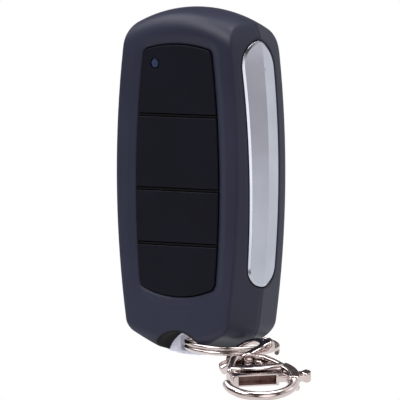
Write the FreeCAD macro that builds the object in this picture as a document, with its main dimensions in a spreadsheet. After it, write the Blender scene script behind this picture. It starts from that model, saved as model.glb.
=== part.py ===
import FreeCAD, Part
import math
import os

import Sketcher

Vector = FreeCAD.Vector
os.makedirs("parts", exist_ok=True)
doc = FreeCAD.newDocument("gate_remote")

# Frame: +Z up the long axis, keys toward -Y, origin at the middle of the flat back face.
drivingSizes = {
    # housing
    "bodyLength": 76.0,
    "bodyWidth": 37.4,
    "bodyDepth": 15.7,
    "rearShellDepth": 7.35,
    "wall": 1.9,
    "sideBow": 205.0,
    "sideBowHeight": 2.0,
    "frontDraft": 14.1,
    "rearDraft": 7.0,
    "topCornerRadius": 9.2,
    "topCornerDrop": 8.9,
    "topCornerSlope": 34.6,
    "bottomCornerRadius": 5.7,
    "bottomCornerRise": 8.3,
    "bottomCornerSlope": 24.9,
    "topCrown": 33.8,
    "bottomCrown": 36.0,
    "topDome": 13.0,
    "bottomDome": 13.4,
    "topRoll": 4.4,
    "bottomRoll": 3.0,
    # key opening and its bevel
    "panelWidth": 23.0,
    "panelBow": 215.0,
    "panelBowHeight": -1.0,
    "panelTop": 30.1,
    "panelBottom": -25.1,
    "panelTopArc": 34.0,
    "panelBottomArc": 26.3,
    "panelTopCorner": 1.6,
    "panelBottomCorner": 2.0,
    "bevelWidth": 2.1,
    "bevelDepth": 0.45,
    # keys and the frame that guides them
    "seamOne": 14.5,
    "seamTwo": -1.6,
    "seamThree": -13.5,
    "seamRib": 0.36,
    "seamGap": 0.2,
    "keyGap": 0.25,
    "keyRecess": 0.1,
    "keyThickness": 1.6,
    "keyEdge": 0.15,
    "flangeThickness": 0.5,
    "flangeReach": 0.5,
    "flangeGap": 0.05,
    "keyTravel": 0.25,
    "postDiameter": 3.2,
    "postLength": 2.0,
    "postClearance": 0.3,
    "frameRim": 1.7,
    "framePocket": 0.95,
    "frameFloor": 0.8,
    "floorGap": 0.1,
    "sealThickness": 0.3,
    "pegDiameter": 2.4,
    # circuit board and what it carries
    "boardWidth": 27.6,
    "boardTop": 31.0,
    "boardBottom": -26.4,
    "boardCorner": 4.0,
    "boardThickness": 1.0,
    "switchSide": 4.6,
    "switchHeight": 1.6,
    "plungerDiameter": 2.4,
    "plungerHeight": 0.8,
    "plungerDip": 0.4,
    "plungerClearance": 0.1,
    "cellDiameter": 20.0,
    "cellThickness": 3.2,
    "cellHeight": 4.0,
    "contactHeight": 0.9,
    "contactThickness": 0.25,
    # status light
    "lightX": -6.05,
    "lightZ": 25.7,
    "lightRadius": 0.9,
    "lightPoint": 1.2,
    "lightHole": 2.5,
    # bright side strips
    "stripWidth": 10.0,
    "stripTaper": 1.2,
    "stripTop": 30.9,
    "stripBottom": -22.45,
    "stripCentre": -7.95,
    "stripArch": 6.2,
    "stripProud": 0.25,
    "stripSeat": 1.3,
    "stripGap": 0.3,
    # screws
    "screwDiameter": 1.8,
    "screwLength": 8.0,
    "screwHeadDiameter": 3.5,
    "screwHeadHeight": 1.5,
    "screwSink": 3.1,
    "screwClearance": 0.1,
    "bossDiameter": 4.4,
    "upperScrew": 33.6,
    "lowerScrew": -29.6,
    # key loop
    "loopWidth": 14.4,
    "loopThickness": 3.0,
    "loopTop": -27.0,
    "slotWidth": 8.0,
    "slotHeight": 3.5,
    "slotCorner": 1.1,
    "slotHeightZ": -35.1,
    "scoopRadius": 7.6,
    "scoopDrop": 2.2,
    "scoopWall": 1.5,
    # split ring
    "ringRadius": 10.0,
    "ringWire": 0.8,
    "ringPitch": 1.22,
    "ringTurns": 1.92,
    "ringX": -2.06,
    "ringZ": -35.0,
    "ringTurn": 11.0,
    "ringDip": 4.0,
    "ringFall": 4.0,
    # snap hook
    "eyePlace": 46.9,
    "eyeAlong": 2.7,
    "eyeLift": 0.58,
    "eyeSide": 0.09,
    "eyeTwist": 26.9,
    "eyeInside": 3.5,
    "eyeWire": 1.15,
    "eyeHeight": 6.4,
    "eyeThickness": 1.1,
    "earSpan": 13.0,
    "earHeight": 2.8,
    "postRadius": 0.8,
    "postHeadRadius": 1.15,
    "swivelClearance": 0.12,
    "hookRadius": 7.3,
    "hookWire": 2.0,
    "hookPlate": 3.0,
    "forkHeight": 3.5,
    "forkWidth": 2.4,
    "forkSlot": 1.6,
    "gateThickness": 1.4,
    "gateChannel": 2.8,
    "gatePinDiameter": 1.0,
    "gateClearance": 0.05,
    "springWire": 0.35,
    "springRadius": 0.7,
    "springPitch": 0.8,
    "springTurns": 1.5,
    "springTail": 4.3,
}


class Size:
    # A number that remembers the sheet formula it comes from.
    def __init__(self, value, text):
        self.value = float(value)
        self.text = text

    def __add__(self, other):
        other = asSize(other)
        return Size(self.value + other.value, "(" + self.text + " + " + other.text + ")")

    def __sub__(self, other):
        other = asSize(other)
        return Size(self.value - other.value, "(" + self.text + " - " + other.text + ")")

    def __mul__(self, other):
        other = asSize(other)
        return Size(self.value * other.value, "(" + self.text + " * " + other.text + ")")

    def __truediv__(self, other):
        other = asSize(other)
        return Size(self.value / other.value, "(" + self.text + " / " + other.text + ")")

    def __radd__(self, other):
        return asSize(other) + self

    def __rsub__(self, other):
        return asSize(other) - self

    def __rmul__(self, other):
        return asSize(other) * self

    def __neg__(self):
        return Size(-self.value, "(0 - " + self.text + ")")


def asSize(number):
    if isinstance(number, Size):
        return number
    text = repr(float(number))
    return Size(number, "(" + text + ")" if number < 0 else text)


def root(size):
    return Size(math.sqrt(size.value), "sqrt(" + size.text + ")")


def sine(size):
    return Size(math.sin(math.radians(size.value)), "sin(" + size.text + ")")


def cosine(size):
    return Size(math.cos(math.radians(size.value)), "cos(" + size.text + ")")


class SizeTable:
    # The sheet's named values, each as a Size.
    def __init__(self, sheet, values):
        for row, (name, value) in enumerate(values.items(), start=1):
            sheet.set("A" + str(row), name)
            sheet.set("B" + str(row), str(value))
            sheet.setAlias("B" + str(row), name)
            setattr(self, name, Size(value, "sizes." + name))


sheet = doc.addObject("Spreadsheet::Sheet", "sizes")
size = SizeTable(sheet, drivingSizes)
doc.recompute()


def bind(target, path, amount):
    # Gives a property its value from the sheet.
    amount = asSize(amount)
    target.setExpression(path, amount.text)


def place(target, x=0, y=0, z=0):
    for axis, amount in (("x", x), ("y", y), ("z", z)):
        if isinstance(amount, Size) or amount:
            bind(target, "Placement.Base." + axis, amount)


def newBody(name):
    return doc.addObject("PartDesign::Body", name)


def sketchOn(body, role, name, offset=None, shift=None):
    # A sketch on one of the body's own origin planes, moved off it by offset along its normal.
    plane = next(item for item in body.Origin.OriginFeatures if item.Role == role)
    sketch = body.newObject("Sketcher::SketchObject", name)
    sketch.AttachmentSupport = [(plane, "")]
    sketch.MapMode = "FlatFace"
    if offset is not None:
        bind(sketch, "AttachmentOffset.Base.z", offset)
    if shift is not None:
        bind(sketch, "AttachmentOffset.Base.y", shift)
    return sketch


def hold(sketch, kind, *place_and_value):
    # One bound dimension of a sketch.
    *where, amount = place_and_value
    amount = asSize(amount)
    index = sketch.addConstraint(Sketcher.Constraint(kind, *where, amount.value))
    sketch.setExpression("Constraints[" + str(index) + "]", amount.text)


def arcBetween(start, end, radius, turn):
    # A circle's arc under a half turn; turn is 1 for anticlockwise and -1 for clockwise.
    if turn < 0:
        start, end = end, start
    half = (end - start) * 0.5
    rise = math.sqrt(max(radius * radius - half.Length ** 2, 0.0))
    across = Vector(-half.y, half.x, 0).normalize()
    centre = start + half + across * rise
    first = math.atan2(start.y - centre.y, start.x - centre.x)
    last = math.atan2(end.y - centre.y, end.x - centre.x)
    return Part.ArcOfCircle(Part.Circle(centre, Vector(0, 0, 1), radius), first, last)


def outline(sketch, corners, arcs=None):
    # A closed loop. A corner is (x, y) in sizes, or (x, y, "tangent") where two arcs run on smoothly.
    # arcs gives the leg after a corner its (radius, turn) or (radius, turn, (centre x, centre y)).
    arcs = arcs or {}
    first = sketch.GeometryCount
    count = len(corners)
    points = [Vector(asSize(c[0]).value, asSize(c[1]).value, 0) for c in corners]
    ends = []
    for i in range(count):
        start, end = points[i], points[(i + 1) % count]
        if i in arcs:
            radius, turn = asSize(arcs[i][0]), arcs[i][1]
            sketch.addGeometry(arcBetween(start, end, radius.value, turn))
            ends.append((1, 2) if turn > 0 else (2, 1))
        else:
            sketch.addGeometry(Part.LineSegment(start, end))
            ends.append((1, 2))
    for i in range(count):
        j = (i + 1) % count
        smooth = len(corners[j]) > 2
        joint = "Tangent" if smooth else "Coincident"
        sketch.addConstraint(Sketcher.Constraint(joint, first + i, ends[i][1], first + j, ends[j][0]))
    for i in range(count):
        if len(corners[i]) == 2:
            hold(sketch, "DistanceX", -1, 1, first + i, ends[i][0], corners[i][0])
            hold(sketch, "DistanceY", -1, 1, first + i, ends[i][0], corners[i][1])
        if i in arcs:
            if len(arcs[i]) > 2:
                hold(sketch, "DistanceX", -1, 1, first + i, 3, arcs[i][2][0])
                hold(sketch, "DistanceY", -1, 1, first + i, 3, arcs[i][2][1])
            if len(arcs[i]) < 4:
                hold(sketch, "Radius", first + i, arcs[i][0])


def disc(sketch, x, y, radius):
    index = sketch.GeometryCount
    x, y, radius = asSize(x), asSize(y), asSize(radius)
    sketch.addGeometry(Part.Circle(Vector(x.value, y.value, 0), Vector(0, 0, 1), radius.value))
    hold(sketch, "DistanceX", -1, 1, index, 3, x)
    hold(sketch, "DistanceY", -1, 1, index, 3, y)
    hold(sketch, "Radius", index, radius)


def pad(body, sketch, length, back=False, middle=False, draft=None, cut=False):
    kind = "PartDesign::Pocket" if cut else "PartDesign::Pad"
    feature = body.newObject(kind, body.Name + "_" + sketch.Name + "_step")
    feature.Profile = sketch
    bind(feature, "Length", length)
    feature.Reversed = back
    if middle:
        feature.SideType = "Symmetric"
    if draft is not None:
        bind(feature, "TaperAngle", draft)
    return feature


def box(name, length, width, height, x=0, y=0, z=0):
    block = doc.addObject("Part::Box", name)
    bind(block, "Length", length)
    bind(block, "Width", width)
    bind(block, "Height", height)
    place(block, x, y, z)
    return block


def rod(name, radius, height, x, y, z, along):
    # A cylinder that starts at (x, y, z) and runs along the given direction.
    cylinder = doc.addObject("Part::Cylinder", name)
    bind(cylinder, "Radius", radius)
    bind(cylinder, "Height", height)
    cylinder.Placement.Rotation = FreeCAD.Rotation(Vector(0, 0, 1), along)
    place(cylinder, x, y, z)
    return cylinder


def cut(name, base, tool):
    result = doc.addObject("Part::Cut", name)
    result.Base = base
    result.Tool = tool
    return result


def common(name, base, tool):
    result = doc.addObject("Part::Common", name)
    result.Base = base
    result.Tool = tool
    return result


def fuse(name, *pieces):
    result = doc.addObject("Part::MultiFuse", name)
    result.Shapes = list(pieces)
    return result


def group(name, pieces):
    result = doc.addObject("Part::Compound", name)
    result.Links = list(pieces)
    return result


subParts = {}


def keep(name, item):
    # Registers a finished piece under its own label.
    item.Label = name
    subParts[name] = item
    return item


front = Vector(0, -1, 0)
rear = Vector(0, 1, 0)
halfLength = size.bodyLength / 2
halfWidth = size.bodyWidth / 2
middleY = -size.bodyDepth / 2
partingY = -size.rearShellDepth
frontY = -size.bodyDepth
bigSpan = size.bodyLength * 2


def cornerCentre(radius, height):
    # Middle of a corner round that is tangent inside the bowed side.
    reach = size.sideBow - radius
    drop = height - size.sideBowHeight
    return halfWidth - size.sideBow + root(reach * reach - drop * drop)


def housingOutline(sketch, inset):
    # The barrel outline of the housing at its widest, inset by a wall; both ends are closed by roofs
    # that the crowns cut off later.
    sideRadius = size.sideBow - inset
    sideCentre = halfWidth - size.sideBow
    topZ = halfLength - size.topCornerDrop
    lowZ = size.bottomCornerRise - halfLength
    topX = cornerCentre(size.topCornerRadius, topZ)
    lowX = cornerCentre(size.bottomCornerRadius, lowZ)
    topRound = size.topCornerRadius - inset
    lowRound = size.bottomCornerRadius - inset
    topEnd = (topX + topRound * sine(size.topCornerSlope), topZ + topRound * cosine(size.topCornerSlope))
    lowEnd = (lowX + lowRound * sine(size.bottomCornerSlope), lowZ - lowRound * cosine(size.bottomCornerSlope))
    topRoof = topEnd[1] + topEnd[0] * sine(size.topCornerSlope) / cosine(size.topCornerSlope)
    lowRoof = lowEnd[1] - lowEnd[0] * sine(size.bottomCornerSlope) / cosine(size.bottomCornerSlope)

    def onSide(x, z):
        # Where the side runs on into a corner round, as plain numbers.
        middle = Vector(sideCentre.value, size.sideBowHeight.value, 0)
        away = (Vector(x.value, z.value, 0) - middle).normalize()
        return middle + away * sideRadius.value

    high, low = onSide(topX, topZ), onSide(lowX, lowZ)
    zBow = size.sideBowHeight
    corners = [(0, lowRoof), lowEnd, (low.x, low.y, "tangent"), (high.x, high.y, "tangent"), topEnd,
               (0, topRoof), (-topEnd[0], topEnd[1]), (-high.x, high.y, "tangent"),
               (-low.x, low.y, "tangent"), (-lowEnd[0], lowEnd[1])]
    arcs = {1: (lowRound, 1), 2: (sideRadius, 1, (sideCentre, zBow)), 3: (topRound, 1),
            6: (topRound, 1), 7: (sideRadius, 1, (-sideCentre, zBow)), 8: (lowRound, 1)}
    outline(sketch, corners, arcs)


def crownCut(body, name, inset, upper):
    # Turns away what lies outside the domed end: a rolled profile swept round the crown's centre.
    crown = size.topCrown if upper else size.bottomCrown
    dome = size.topDome if upper else size.bottomDome
    edge = size.topRoll if upper else size.bottomRoll
    side = 1 if upper else -1
    pivotZ = (halfLength - crown) * side
    sketch = sketchOn(body, "YZ_Plane", name, shift=pivotZ)
    roll = edge - inset
    arcRadius = dome - inset
    domeZ = crown - dome
    rollY = frontY + edge
    reach = dome - edge
    lean = rollY - middleY
    rollZ = domeZ + root(reach * reach - lean * lean)
    meetY = middleY + lean * arcRadius / reach
    meetZ = domeZ + (rollZ - domeZ) * arcRadius / reach
    faceY = frontY + inset
    backY = -size.bodyDepth - faceY
    meetBack = -size.bodyDepth - meetY
    outer = size.bodyDepth
    far = crown + size.bodyDepth
    loop = [(faceY, rollZ), (meetY, meetZ), (meetBack, meetZ), (backY, rollZ),
            (outer, rollZ), (outer, far), (frontY - outer, far), (frontY - outer, rollZ)]
    bend = -side
    sketchLoop = [(y, z * side) for y, z in loop]
    outline(sketch, sketchLoop, {0: (roll, bend), 1: (arcRadius, bend), 2: (roll, bend)})
    groove = body.newObject("PartDesign::Groove", name + "_turn")
    groove.Profile = sketch
    groove.ReferenceAxis = (sketch, ["H_Axis"])
    groove.Angle = 170
    groove.Midplane = True
    return groove


def housingForm(name, inset):
    # The whole housing as one solid, its faces moved in by inset.
    inset = asSize(inset)
    body = newBody(name)
    forward = sketchOn(body, "XZ_Plane", name + "_outline", offset=size.rearShellDepth)
    housingOutline(forward, inset)
    pad(body, forward, size.bodyDepth - size.rearShellDepth - inset, draft=-size.frontDraft)
    backward = sketchOn(body, "XZ_Plane", name + "_back_outline", offset=size.rearShellDepth)
    housingOutline(backward, inset)
    pad(body, backward, size.rearShellDepth - inset, back=True, draft=-size.rearDraft)
    crownCut(body, name + "_top", inset, True)
    crownCut(body, name + "_bottom", inset, False)
    return body


def panelSide(z, grow=0):
    # Half width of the key opening at a height.
    radius = size.panelBow + grow
    rise = asSize(z) - size.panelBowHeight
    return size.panelWidth / 2 - size.panelBow + root(radius * radius - rise * rise)


def panelOutline(sketch, grow):
    # The key opening: bowed sides, a flat arch on top, a deeper one below, and four corner rounds.
    grow = asSize(grow)
    sideRadius = size.panelBow + grow
    sideCentre = size.panelWidth / 2 - size.panelBow
    zBow = size.panelBowHeight
    topMiddle = size.panelTop - size.panelTopArc
    lowMiddle = size.panelBottom + size.panelBottomArc

    def joints(middleZ, arc, corner, upper):
        # Points where a corner round meets the side and the end arch, as plain numbers.
        ax, az = sideCentre.value, zBow.value
        big, small = sideRadius.value - corner, arc - corner
        dx, dz = -ax, middleZ - az
        apart = math.hypot(dx, dz)
        along = (big * big - small * small + apart * apart) / (2 * apart)
        off = math.sqrt(big * big - along * along)
        sign = 1 if upper else -1
        bx = ax + (dx * along - sign * dz * off) / apart
        bz = az + (dz * along + sign * dx * off) / apart
        toSide = Vector(bx - ax, bz - az, 0).normalize()
        toEnd = Vector(bx, bz - middleZ, 0).normalize()
        onSide = Vector(ax, az, 0) + toSide * sideRadius.value
        onEnd = Vector(0, middleZ, 0) + toEnd * arc
        return onSide, onEnd

    topArc, lowArc = size.panelTopArc + grow, size.panelBottomArc + grow
    topCorner, lowCorner = size.panelTopCorner + grow, size.panelBottomCorner + grow
    sideHigh, endHigh = joints(topMiddle.value, topArc.value, topCorner.value, True)
    sideLow, endLow = joints(lowMiddle.value, lowArc.value, lowCorner.value, False)
    points = [endLow, sideLow, sideHigh, endHigh]
    corners = [(p.x, p.y, "tangent") for p in points]
    corners += [(-p.x, p.y, "tangent") for p in reversed(points)]
    side = (sideRadius, 1, (sideCentre, zBow))
    otherSide = (sideRadius, 1, (-sideCentre, zBow))
    arcs = {0: (lowCorner, 1), 1: side, 2: (topCorner, 1), 3: (topArc, 1, (0, topMiddle)),
            4: (topCorner, 1), 5: otherSide, 6: (lowCorner, 1), 7: (lowArc, 1, (0, lowMiddle))}
    outline(sketch, corners, arcs)


def panelBlock(name, grow, nearY, depth):
    # A straight prism of the key opening, from nearY toward the back.
    body = newBody(name)
    sketch = sketchOn(body, "XZ_Plane", name + "_loop", offset=-nearY)
    panelOutline(sketch, grow)
    pad(body, sketch, depth, back=True)
    return body


def keyBand(sketch, low, high, grow):
    # The stretch of the key opening between two heights, its sides bowed with the opening.
    radius = size.panelBow + grow
    centre = size.panelWidth / 2 - size.panelBow
    lowX, highX = panelSide(low, grow), panelSide(high, grow)
    corners = [(-lowX, low), (lowX, low), (highX, high), (-highX, high)]
    outline(sketch, corners, {1: (radius, 1), 3: (radius, 1)})


print("housing")
outerForm = housingForm("outer_form", 0)
cavityForm = housingForm("cavity_form", size.wall)
proudForm = housingForm("proud_form", -size.stripProud)
seatForm = housingForm("seat_form", size.stripSeat)

scoopZ = -halfLength - size.scoopDrop
scoopBlock = rod("scoop_block", size.scoopRadius + size.scoopWall, size.bodyDepth, 0, 0, scoopZ, front)
upperBoss = rod("upper_boss", size.bossDiameter / 2, size.bodyDepth, 0, 0, size.upperScrew, front)
lowerBoss = rod("lower_boss", size.bossDiameter / 2, size.bodyDepth, 0, 0, size.lowerScrew, front)
hollow = cut("hollow", cavityForm, fuse("inner_solids", scoopBlock, upperBoss, lowerBoss))


def bevelTool():
    # The shallow slope that runs round the key opening.
    body = newBody("bevel_tool")
    wide = sketchOn(body, "XZ_Plane", "bevel_wide", offset=size.bodyDepth)
    panelOutline(wide, size.bevelWidth)
    narrow = sketchOn(body, "XZ_Plane", "bevel_narrow", offset=size.bodyDepth - size.bevelDepth)
    panelOutline(narrow, 0)
    slope = body.newObject("PartDesign::AdditiveLoft", "bevel_slope")
    slope.Profile = wide
    slope.Sections = [narrow]
    slope.Ruled = True
    return body


def stripPrism(name, grow, start):
    # The side strip's outline seen from the side, narrower below, pushed through the housing's flank.
    grow = asSize(grow)
    body = newBody(name)
    sketch = sketchOn(body, "YZ_Plane", name + "_loop", offset=start)
    half = size.stripWidth / 2 + grow
    centre = size.stripCentre
    arch = size.stripArch + grow
    lean = arch - half
    springZ = size.stripTop + grow - root(arch * arch - lean * lean)
    lowHalf = half - size.stripTaper / 2
    lowCentre = centre + size.stripTaper / 2
    lowZ = size.stripBottom - grow + lowHalf
    corners = [(lowCentre - lowHalf, lowZ), (lowCentre, lowZ - lowHalf), (lowCentre + lowHalf, lowZ),
               (centre + half, springZ), (centre, size.stripTop + grow), (centre - half, springZ)]
    arcs = {0: (lowHalf, 1), 1: (lowHalf, 1), 3: (arch, 1), 4: (arch, 1)}
    outline(sketch, corners, arcs)
    pad(body, sketch, size.bodyWidth)
    return body


stripStart = size.bodyWidth / 4
stripRight = stripPrism("strip_right", 0, stripStart)
recessRight = stripPrism("recess_right", size.stripGap, stripStart)
stripLeft = stripPrism("strip_left", 0, -stripStart - size.bodyWidth)
recessLeft = stripPrism("recess_left", size.stripGap, -stripStart - size.bodyWidth)


def shellSolid():
    # Walls, key opening, bevel, strip recesses, ring scoop and the key loop's seat.
    opening = panelBlock("opening", 0, frontY - size.wall, size.wall * 3)
    scoop = rod("scoop", size.scoopRadius, size.bodyDepth * 2, 0, size.bodyDepth / 2, scoopZ, front)
    seat = box("loop_seat", size.loopWidth + size.seamGap, size.loopThickness, size.bodyLength,
               -(size.loopWidth + size.seamGap) / 2, middleY - size.loopThickness / 2,
               size.loopTop + size.seamGap - size.bodyLength)
    recesses = cut("recesses", fuse("recess_pair", recessRight, recessLeft), seatForm)
    tools = fuse("shell_tools", opening, bevelTool(), scoop, seat, recesses, hollow)
    return cut("shell_solid", outerForm, tools)


shell = shellSolid()
sideSpan = size.bodyWidth * 2
rearHalf = box("rear_half", sideSpan, size.bodyDepth * 2, bigSpan, -size.bodyWidth, partingY, -size.bodyLength)
frontHalf = box("front_half", sideSpan, size.bodyDepth * 2, bigSpan, -size.bodyWidth,
                partingY - size.bodyDepth * 2, -size.bodyLength)
seatY = -size.screwSink
screwTipY = seatY - size.screwLength


def screwSet(name, radius, headRadius, tipY, headY, clearance):
    # Both screws, or the room that they need.
    pieces = []
    for index, z in enumerate((size.upperScrew, size.lowerScrew)):
        tag = name + "_" + str(index)
        shank = rod(tag + "_shank", radius + clearance, seatY - tipY, 0, seatY, z, front)
        head = rod(tag + "_head", headRadius + clearance, headY - seatY, 0, seatY, z, rear)
        pieces.append(fuse(tag, shank, head))
    return pieces


screwRoom = fuse("screw_room", *screwSet("room", size.screwDiameter / 2, size.screwHeadDiameter / 2,
                                         screwTipY - size.wall / 2, size.wall, size.screwClearance / 2))
keep("front_shell", cut("front_shell", cut("front_blank", shell, rearHalf), screwRoom))
keep("rear_shell", cut("rear_shell", cut("rear_blank", shell, frontHalf), screwRoom))


def caseScrews():
    # Countersunk self-tapping screws with a cross recess.
    heads = []
    headY = seatY + size.screwHeadHeight
    for index, screw in enumerate(screwSet("screw", size.screwDiameter / 2, size.screwHeadDiameter / 2,
                                           screwTipY, headY, 0)):
        z = (size.upperScrew, size.lowerScrew)[index]
        arm = size.screwHeadDiameter * 0.62
        blade = size.screwHeadDiameter * 0.14
        depth = size.screwHeadHeight * 0.6
        upright = box("upright_" + str(index), blade, size.screwHeadHeight, arm, -blade / 2, headY - depth, z - arm / 2)
        level = box("level_" + str(index), arm, size.screwHeadHeight, blade, -arm / 2, headY - depth, z - blade / 2)
        heads.append(cut("case_screw_" + str(index), screw, fuse("cross_" + str(index), upright, level)))
    return group("case_screws", heads)


keep("case_screws", caseScrews())
layer = cut("strip_layer", proudForm, seatForm)
keep("side_trim_right", common("side_trim_right", layer, stripRight))
keep("side_trim_left", common("side_trim_left", layer, stripLeft))

print("keys")
keyFaceY = frontY + size.keyRecess
keyBackY = keyFaceY + size.keyThickness
innerFaceY = frontY + size.wall
flangeY = innerFaceY + size.flangeGap
flangeBackY = flangeY + size.flangeThickness
pocketY = flangeBackY + size.keyTravel + size.floorGap
frameBackY = pocketY + size.frameFloor
postTipY = flangeBackY + size.postLength
switchTopY = postTipY + size.plungerHeight
boardFrontY = switchTopY + size.switchHeight
boardBackY = boardFrontY + size.boardThickness
seams = [size.panelTop, size.seamOne, size.seamTwo, size.seamThree, size.panelBottom]
seamHalf = size.seamRib / 2 + size.seamGap
keyCentres = [(seams[i] + seams[i + 1]) / 2 for i in range(4)]


def keyCap(index):
    # A flat cap that fills its stretch of the opening, with a hidden flange and a post for its switch.
    name = "key_" + str(index + 1)
    body = newBody(name)
    high, low = seams[index] - seamHalf, seams[index + 1] + seamHalf
    if index == 0:
        high = size.panelTop + size.panelTopCorner * 4
    if index == 3:
        low = size.panelBottom - size.panelBottomCorner * 4
    block = sketchOn(body, "XZ_Plane", name + "_band", offset=-keyFaceY)
    keyBand(block, low, high, -size.keyGap)
    pad(body, block, flangeY - keyFaceY, back=True)
    flange = sketchOn(body, "XZ_Plane", name + "_flange", offset=-flangeY)
    inset = size.panelBottomCorner * 1.5
    top = size.panelTop - inset if index == 0 else high
    bottom = size.panelBottom + inset if index == 3 else low
    keyBand(flange, bottom, top, size.flangeReach)
    pad(body, flange, size.flangeThickness, back=True)
    post = sketchOn(body, "XZ_Plane", name + "_post", offset=-flangeBackY)
    disc(post, 0, keyCentres[index], size.postDiameter / 2)
    pad(body, post, size.postLength, back=True)
    if index == 0:
        eye = sketchOn(body, "XZ_Plane", name + "_eye", offset=-keyFaceY)
        disc(eye, size.lightX, size.lightZ, size.lightHole / 2)
        pad(body, eye, size.keyThickness * 3, back=False, cut=True)
    if index in (0, 3):
        limit = panelBlock(name + "_limit", -size.keyGap, keyFaceY - size.wall, size.bodyDepth)
        return common(name + "_cap", body, limit)
    return body


def keyEdges(name, cap):
    # Rounds the edges of a cap's face.
    doc.recompute()
    rounded = doc.addObject("Part::Chamfer", name + "_rounded")
    rounded.Base = cap
    rounded.Edges = [(number, size.keyEdge.value, size.keyEdge.value)
                     for number, edge in enumerate(cap.Shape.Edges, start=1)
                     if abs(edge.BoundBox.YMin - keyFaceY.value) < 1e-4
                     and abs(edge.BoundBox.YMax - keyFaceY.value) < 1e-4
                     and edge.BoundBox.DiagonalLength > size.lightHole.value * 1.5]
    return rounded


for index in range(4):
    name = "key_" + str(index + 1)
    keep(name, keyEdges(name, keyCap(index)))


def keyFrame():
    # Tray behind the opening: it guides the posts, and its thin ribs part the keys.
    blank = panelBlock("frame_blank", size.frameRim, innerFaceY, frameBackY - innerFaceY)
    pocket = panelBlock("frame_pocket", size.framePocket, innerFaceY - size.wall, pocketY - innerFaceY + size.wall)
    holes = []
    for index, z in enumerate(keyCentres):
        holes.append(rod("post_hole_" + str(index), size.postDiameter / 2 + size.postClearance,
                         size.bodyDepth, 0, 0, z, front))
    holes.append(rod("pipe_hole", size.lightPoint + size.floorGap, size.bodyDepth, size.lightX, 0,
                     size.lightZ, front))
    holes.append(rod("boss_notch", size.bossDiameter / 2 + size.keyGap, size.bodyDepth, 0, 0,
                     size.upperScrew, front))
    pieces = [cut("frame_tray", blank, fuse("frame_tools", pocket, *holes))]
    for index, z in enumerate(seams[1:4]):
        half = panelSide(z) - size.floorGap
        ribFaceY = keyFaceY + size.floorGap
        pieces.append(box("seam_rib_" + str(index), half * 2, pocketY - ribFaceY, size.seamRib,
                          -half, ribFaceY, z - size.seamRib / 2))
    pegX = size.panelWidth * 0.4
    for index, (side, z) in enumerate(((-1, seams[0]), (1, seams[0]), (-1, seams[4]), (1, seams[4]))):
        lift = -size.pegDiameter if index < 2 else size.pegDiameter
        pieces.append(rod("peg_" + str(index), size.pegDiameter / 2, boardFrontY - frameBackY,
                          pegX * side, frameBackY, z + lift, rear))
    return fuse("key_frame", *pieces)


keep("key_frame", keyFrame())


def keySeal():
    # Soft sheet behind the frame with a hole for each post, the pipe and the pegs.
    sheetBlank = panelBlock("seal_blank", 0, frameBackY, size.sealThickness)
    holes = [rod("seal_hole_" + str(index), size.postDiameter / 2 + size.postClearance, size.bodyDepth,
                 0, 0, z, front) for index, z in enumerate(keyCentres)]
    holes.append(rod("seal_pipe_hole", size.lightHole, size.bodyDepth, size.lightX, 0, size.lightZ, front))
    pegX = size.panelWidth * 0.4
    for index, (side, z) in enumerate(((-1, seams[0]), (1, seams[0]), (-1, seams[4]), (1, seams[4]))):
        lift = -size.pegDiameter if index < 2 else size.pegDiameter
        holes.append(rod("seal_peg_" + str(index), size.pegDiameter / 2 + size.floorGap, size.bodyDepth,
                         pegX * side, 0, z + lift, front))
    return cut("key_seal", sheetBlank, fuse("seal_holes", *holes))


keep("key_seal", keySeal())


def lightPipe():
    # Clear rod with a pointed top, from the key's face to just over the lamp.
    body = newBody("light_pipe")
    lens = sketchOn(body, "XZ_Plane", "pipe_lens", offset=-keyFaceY)
    radius, point = size.lightRadius, size.lightPoint
    lean = radius * radius / point
    side = root(radius * radius - lean * lean)
    x, z = size.lightX, size.lightZ
    corners = [(x, z + point), (x - side, z + lean), (x, z - radius), (x + side, z + lean)]
    outline(lens, corners, {1: (radius, 1), 2: (radius, 1)})
    pad(body, lens, boardFrontY - keyFaceY - size.plungerHeight - size.floorGap, back=True)
    collar = sketchOn(body, "XZ_Plane", "pipe_collar", offset=-frameBackY)
    disc(collar, x, z, size.lightPoint + size.flangeReach)
    pad(body, collar, size.sealThickness, back=True)
    return body


keep("light_pipe", lightPipe())

print("circuit")


def roundedPlate(name, left, right, low, high, corner, nearY, depth):
    body = newBody(name)
    sketch = sketchOn(body, "XZ_Plane", name + "_loop", offset=-nearY)
    corners = [(left + corner, low), (right - corner, low), (right, low + corner), (right, high - corner),
               (right - corner, high), (left + corner, high), (left, high - corner), (left, low + corner)]
    outline(sketch, corners, {1: (corner, 1), 3: (corner, 1), 5: (corner, 1), 7: (corner, 1)})
    pad(body, sketch, depth, back=True)
    return body


boardHalf = size.boardWidth / 2
keep("circuit_board", roundedPlate("circuit_board", -boardHalf, boardHalf, size.boardBottom, size.boardTop,
                                   size.boardCorner, boardFrontY, size.boardThickness))


def switchBodies():
    pieces = []
    half = size.switchSide / 2
    bore = size.plungerDiameter / 2 + size.plungerClearance
    depth = size.plungerDip + size.keyTravel + size.floorGap
    for index, z in enumerate(keyCentres):
        tag = "switch_" + str(index)
        block = box(tag + "_block", size.switchSide, size.switchHeight, size.switchSide, -half, switchTopY, z - half)
        hole = rod(tag + "_bore", bore, depth, 0, switchTopY, z, rear)
        pieces.append(cut(tag, block, hole))
    return group("switch_bodies", pieces)


keep("switch_bodies", switchBodies())
for index, z in enumerate(keyCentres):
    name = "switch_plunger_" + str(index + 1)
    keep(name, rod(name, size.plungerDiameter / 2, size.plungerHeight + size.plungerDip, 0, postTipY, z, rear))

ledWidth = size.lightRadius * 1.6
keep("status_led", box("status_led", ledWidth, size.plungerHeight, ledWidth, size.lightX - ledWidth / 2,
                       boardFrontY - size.plungerHeight, size.lightZ - ledWidth / 2))


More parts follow.
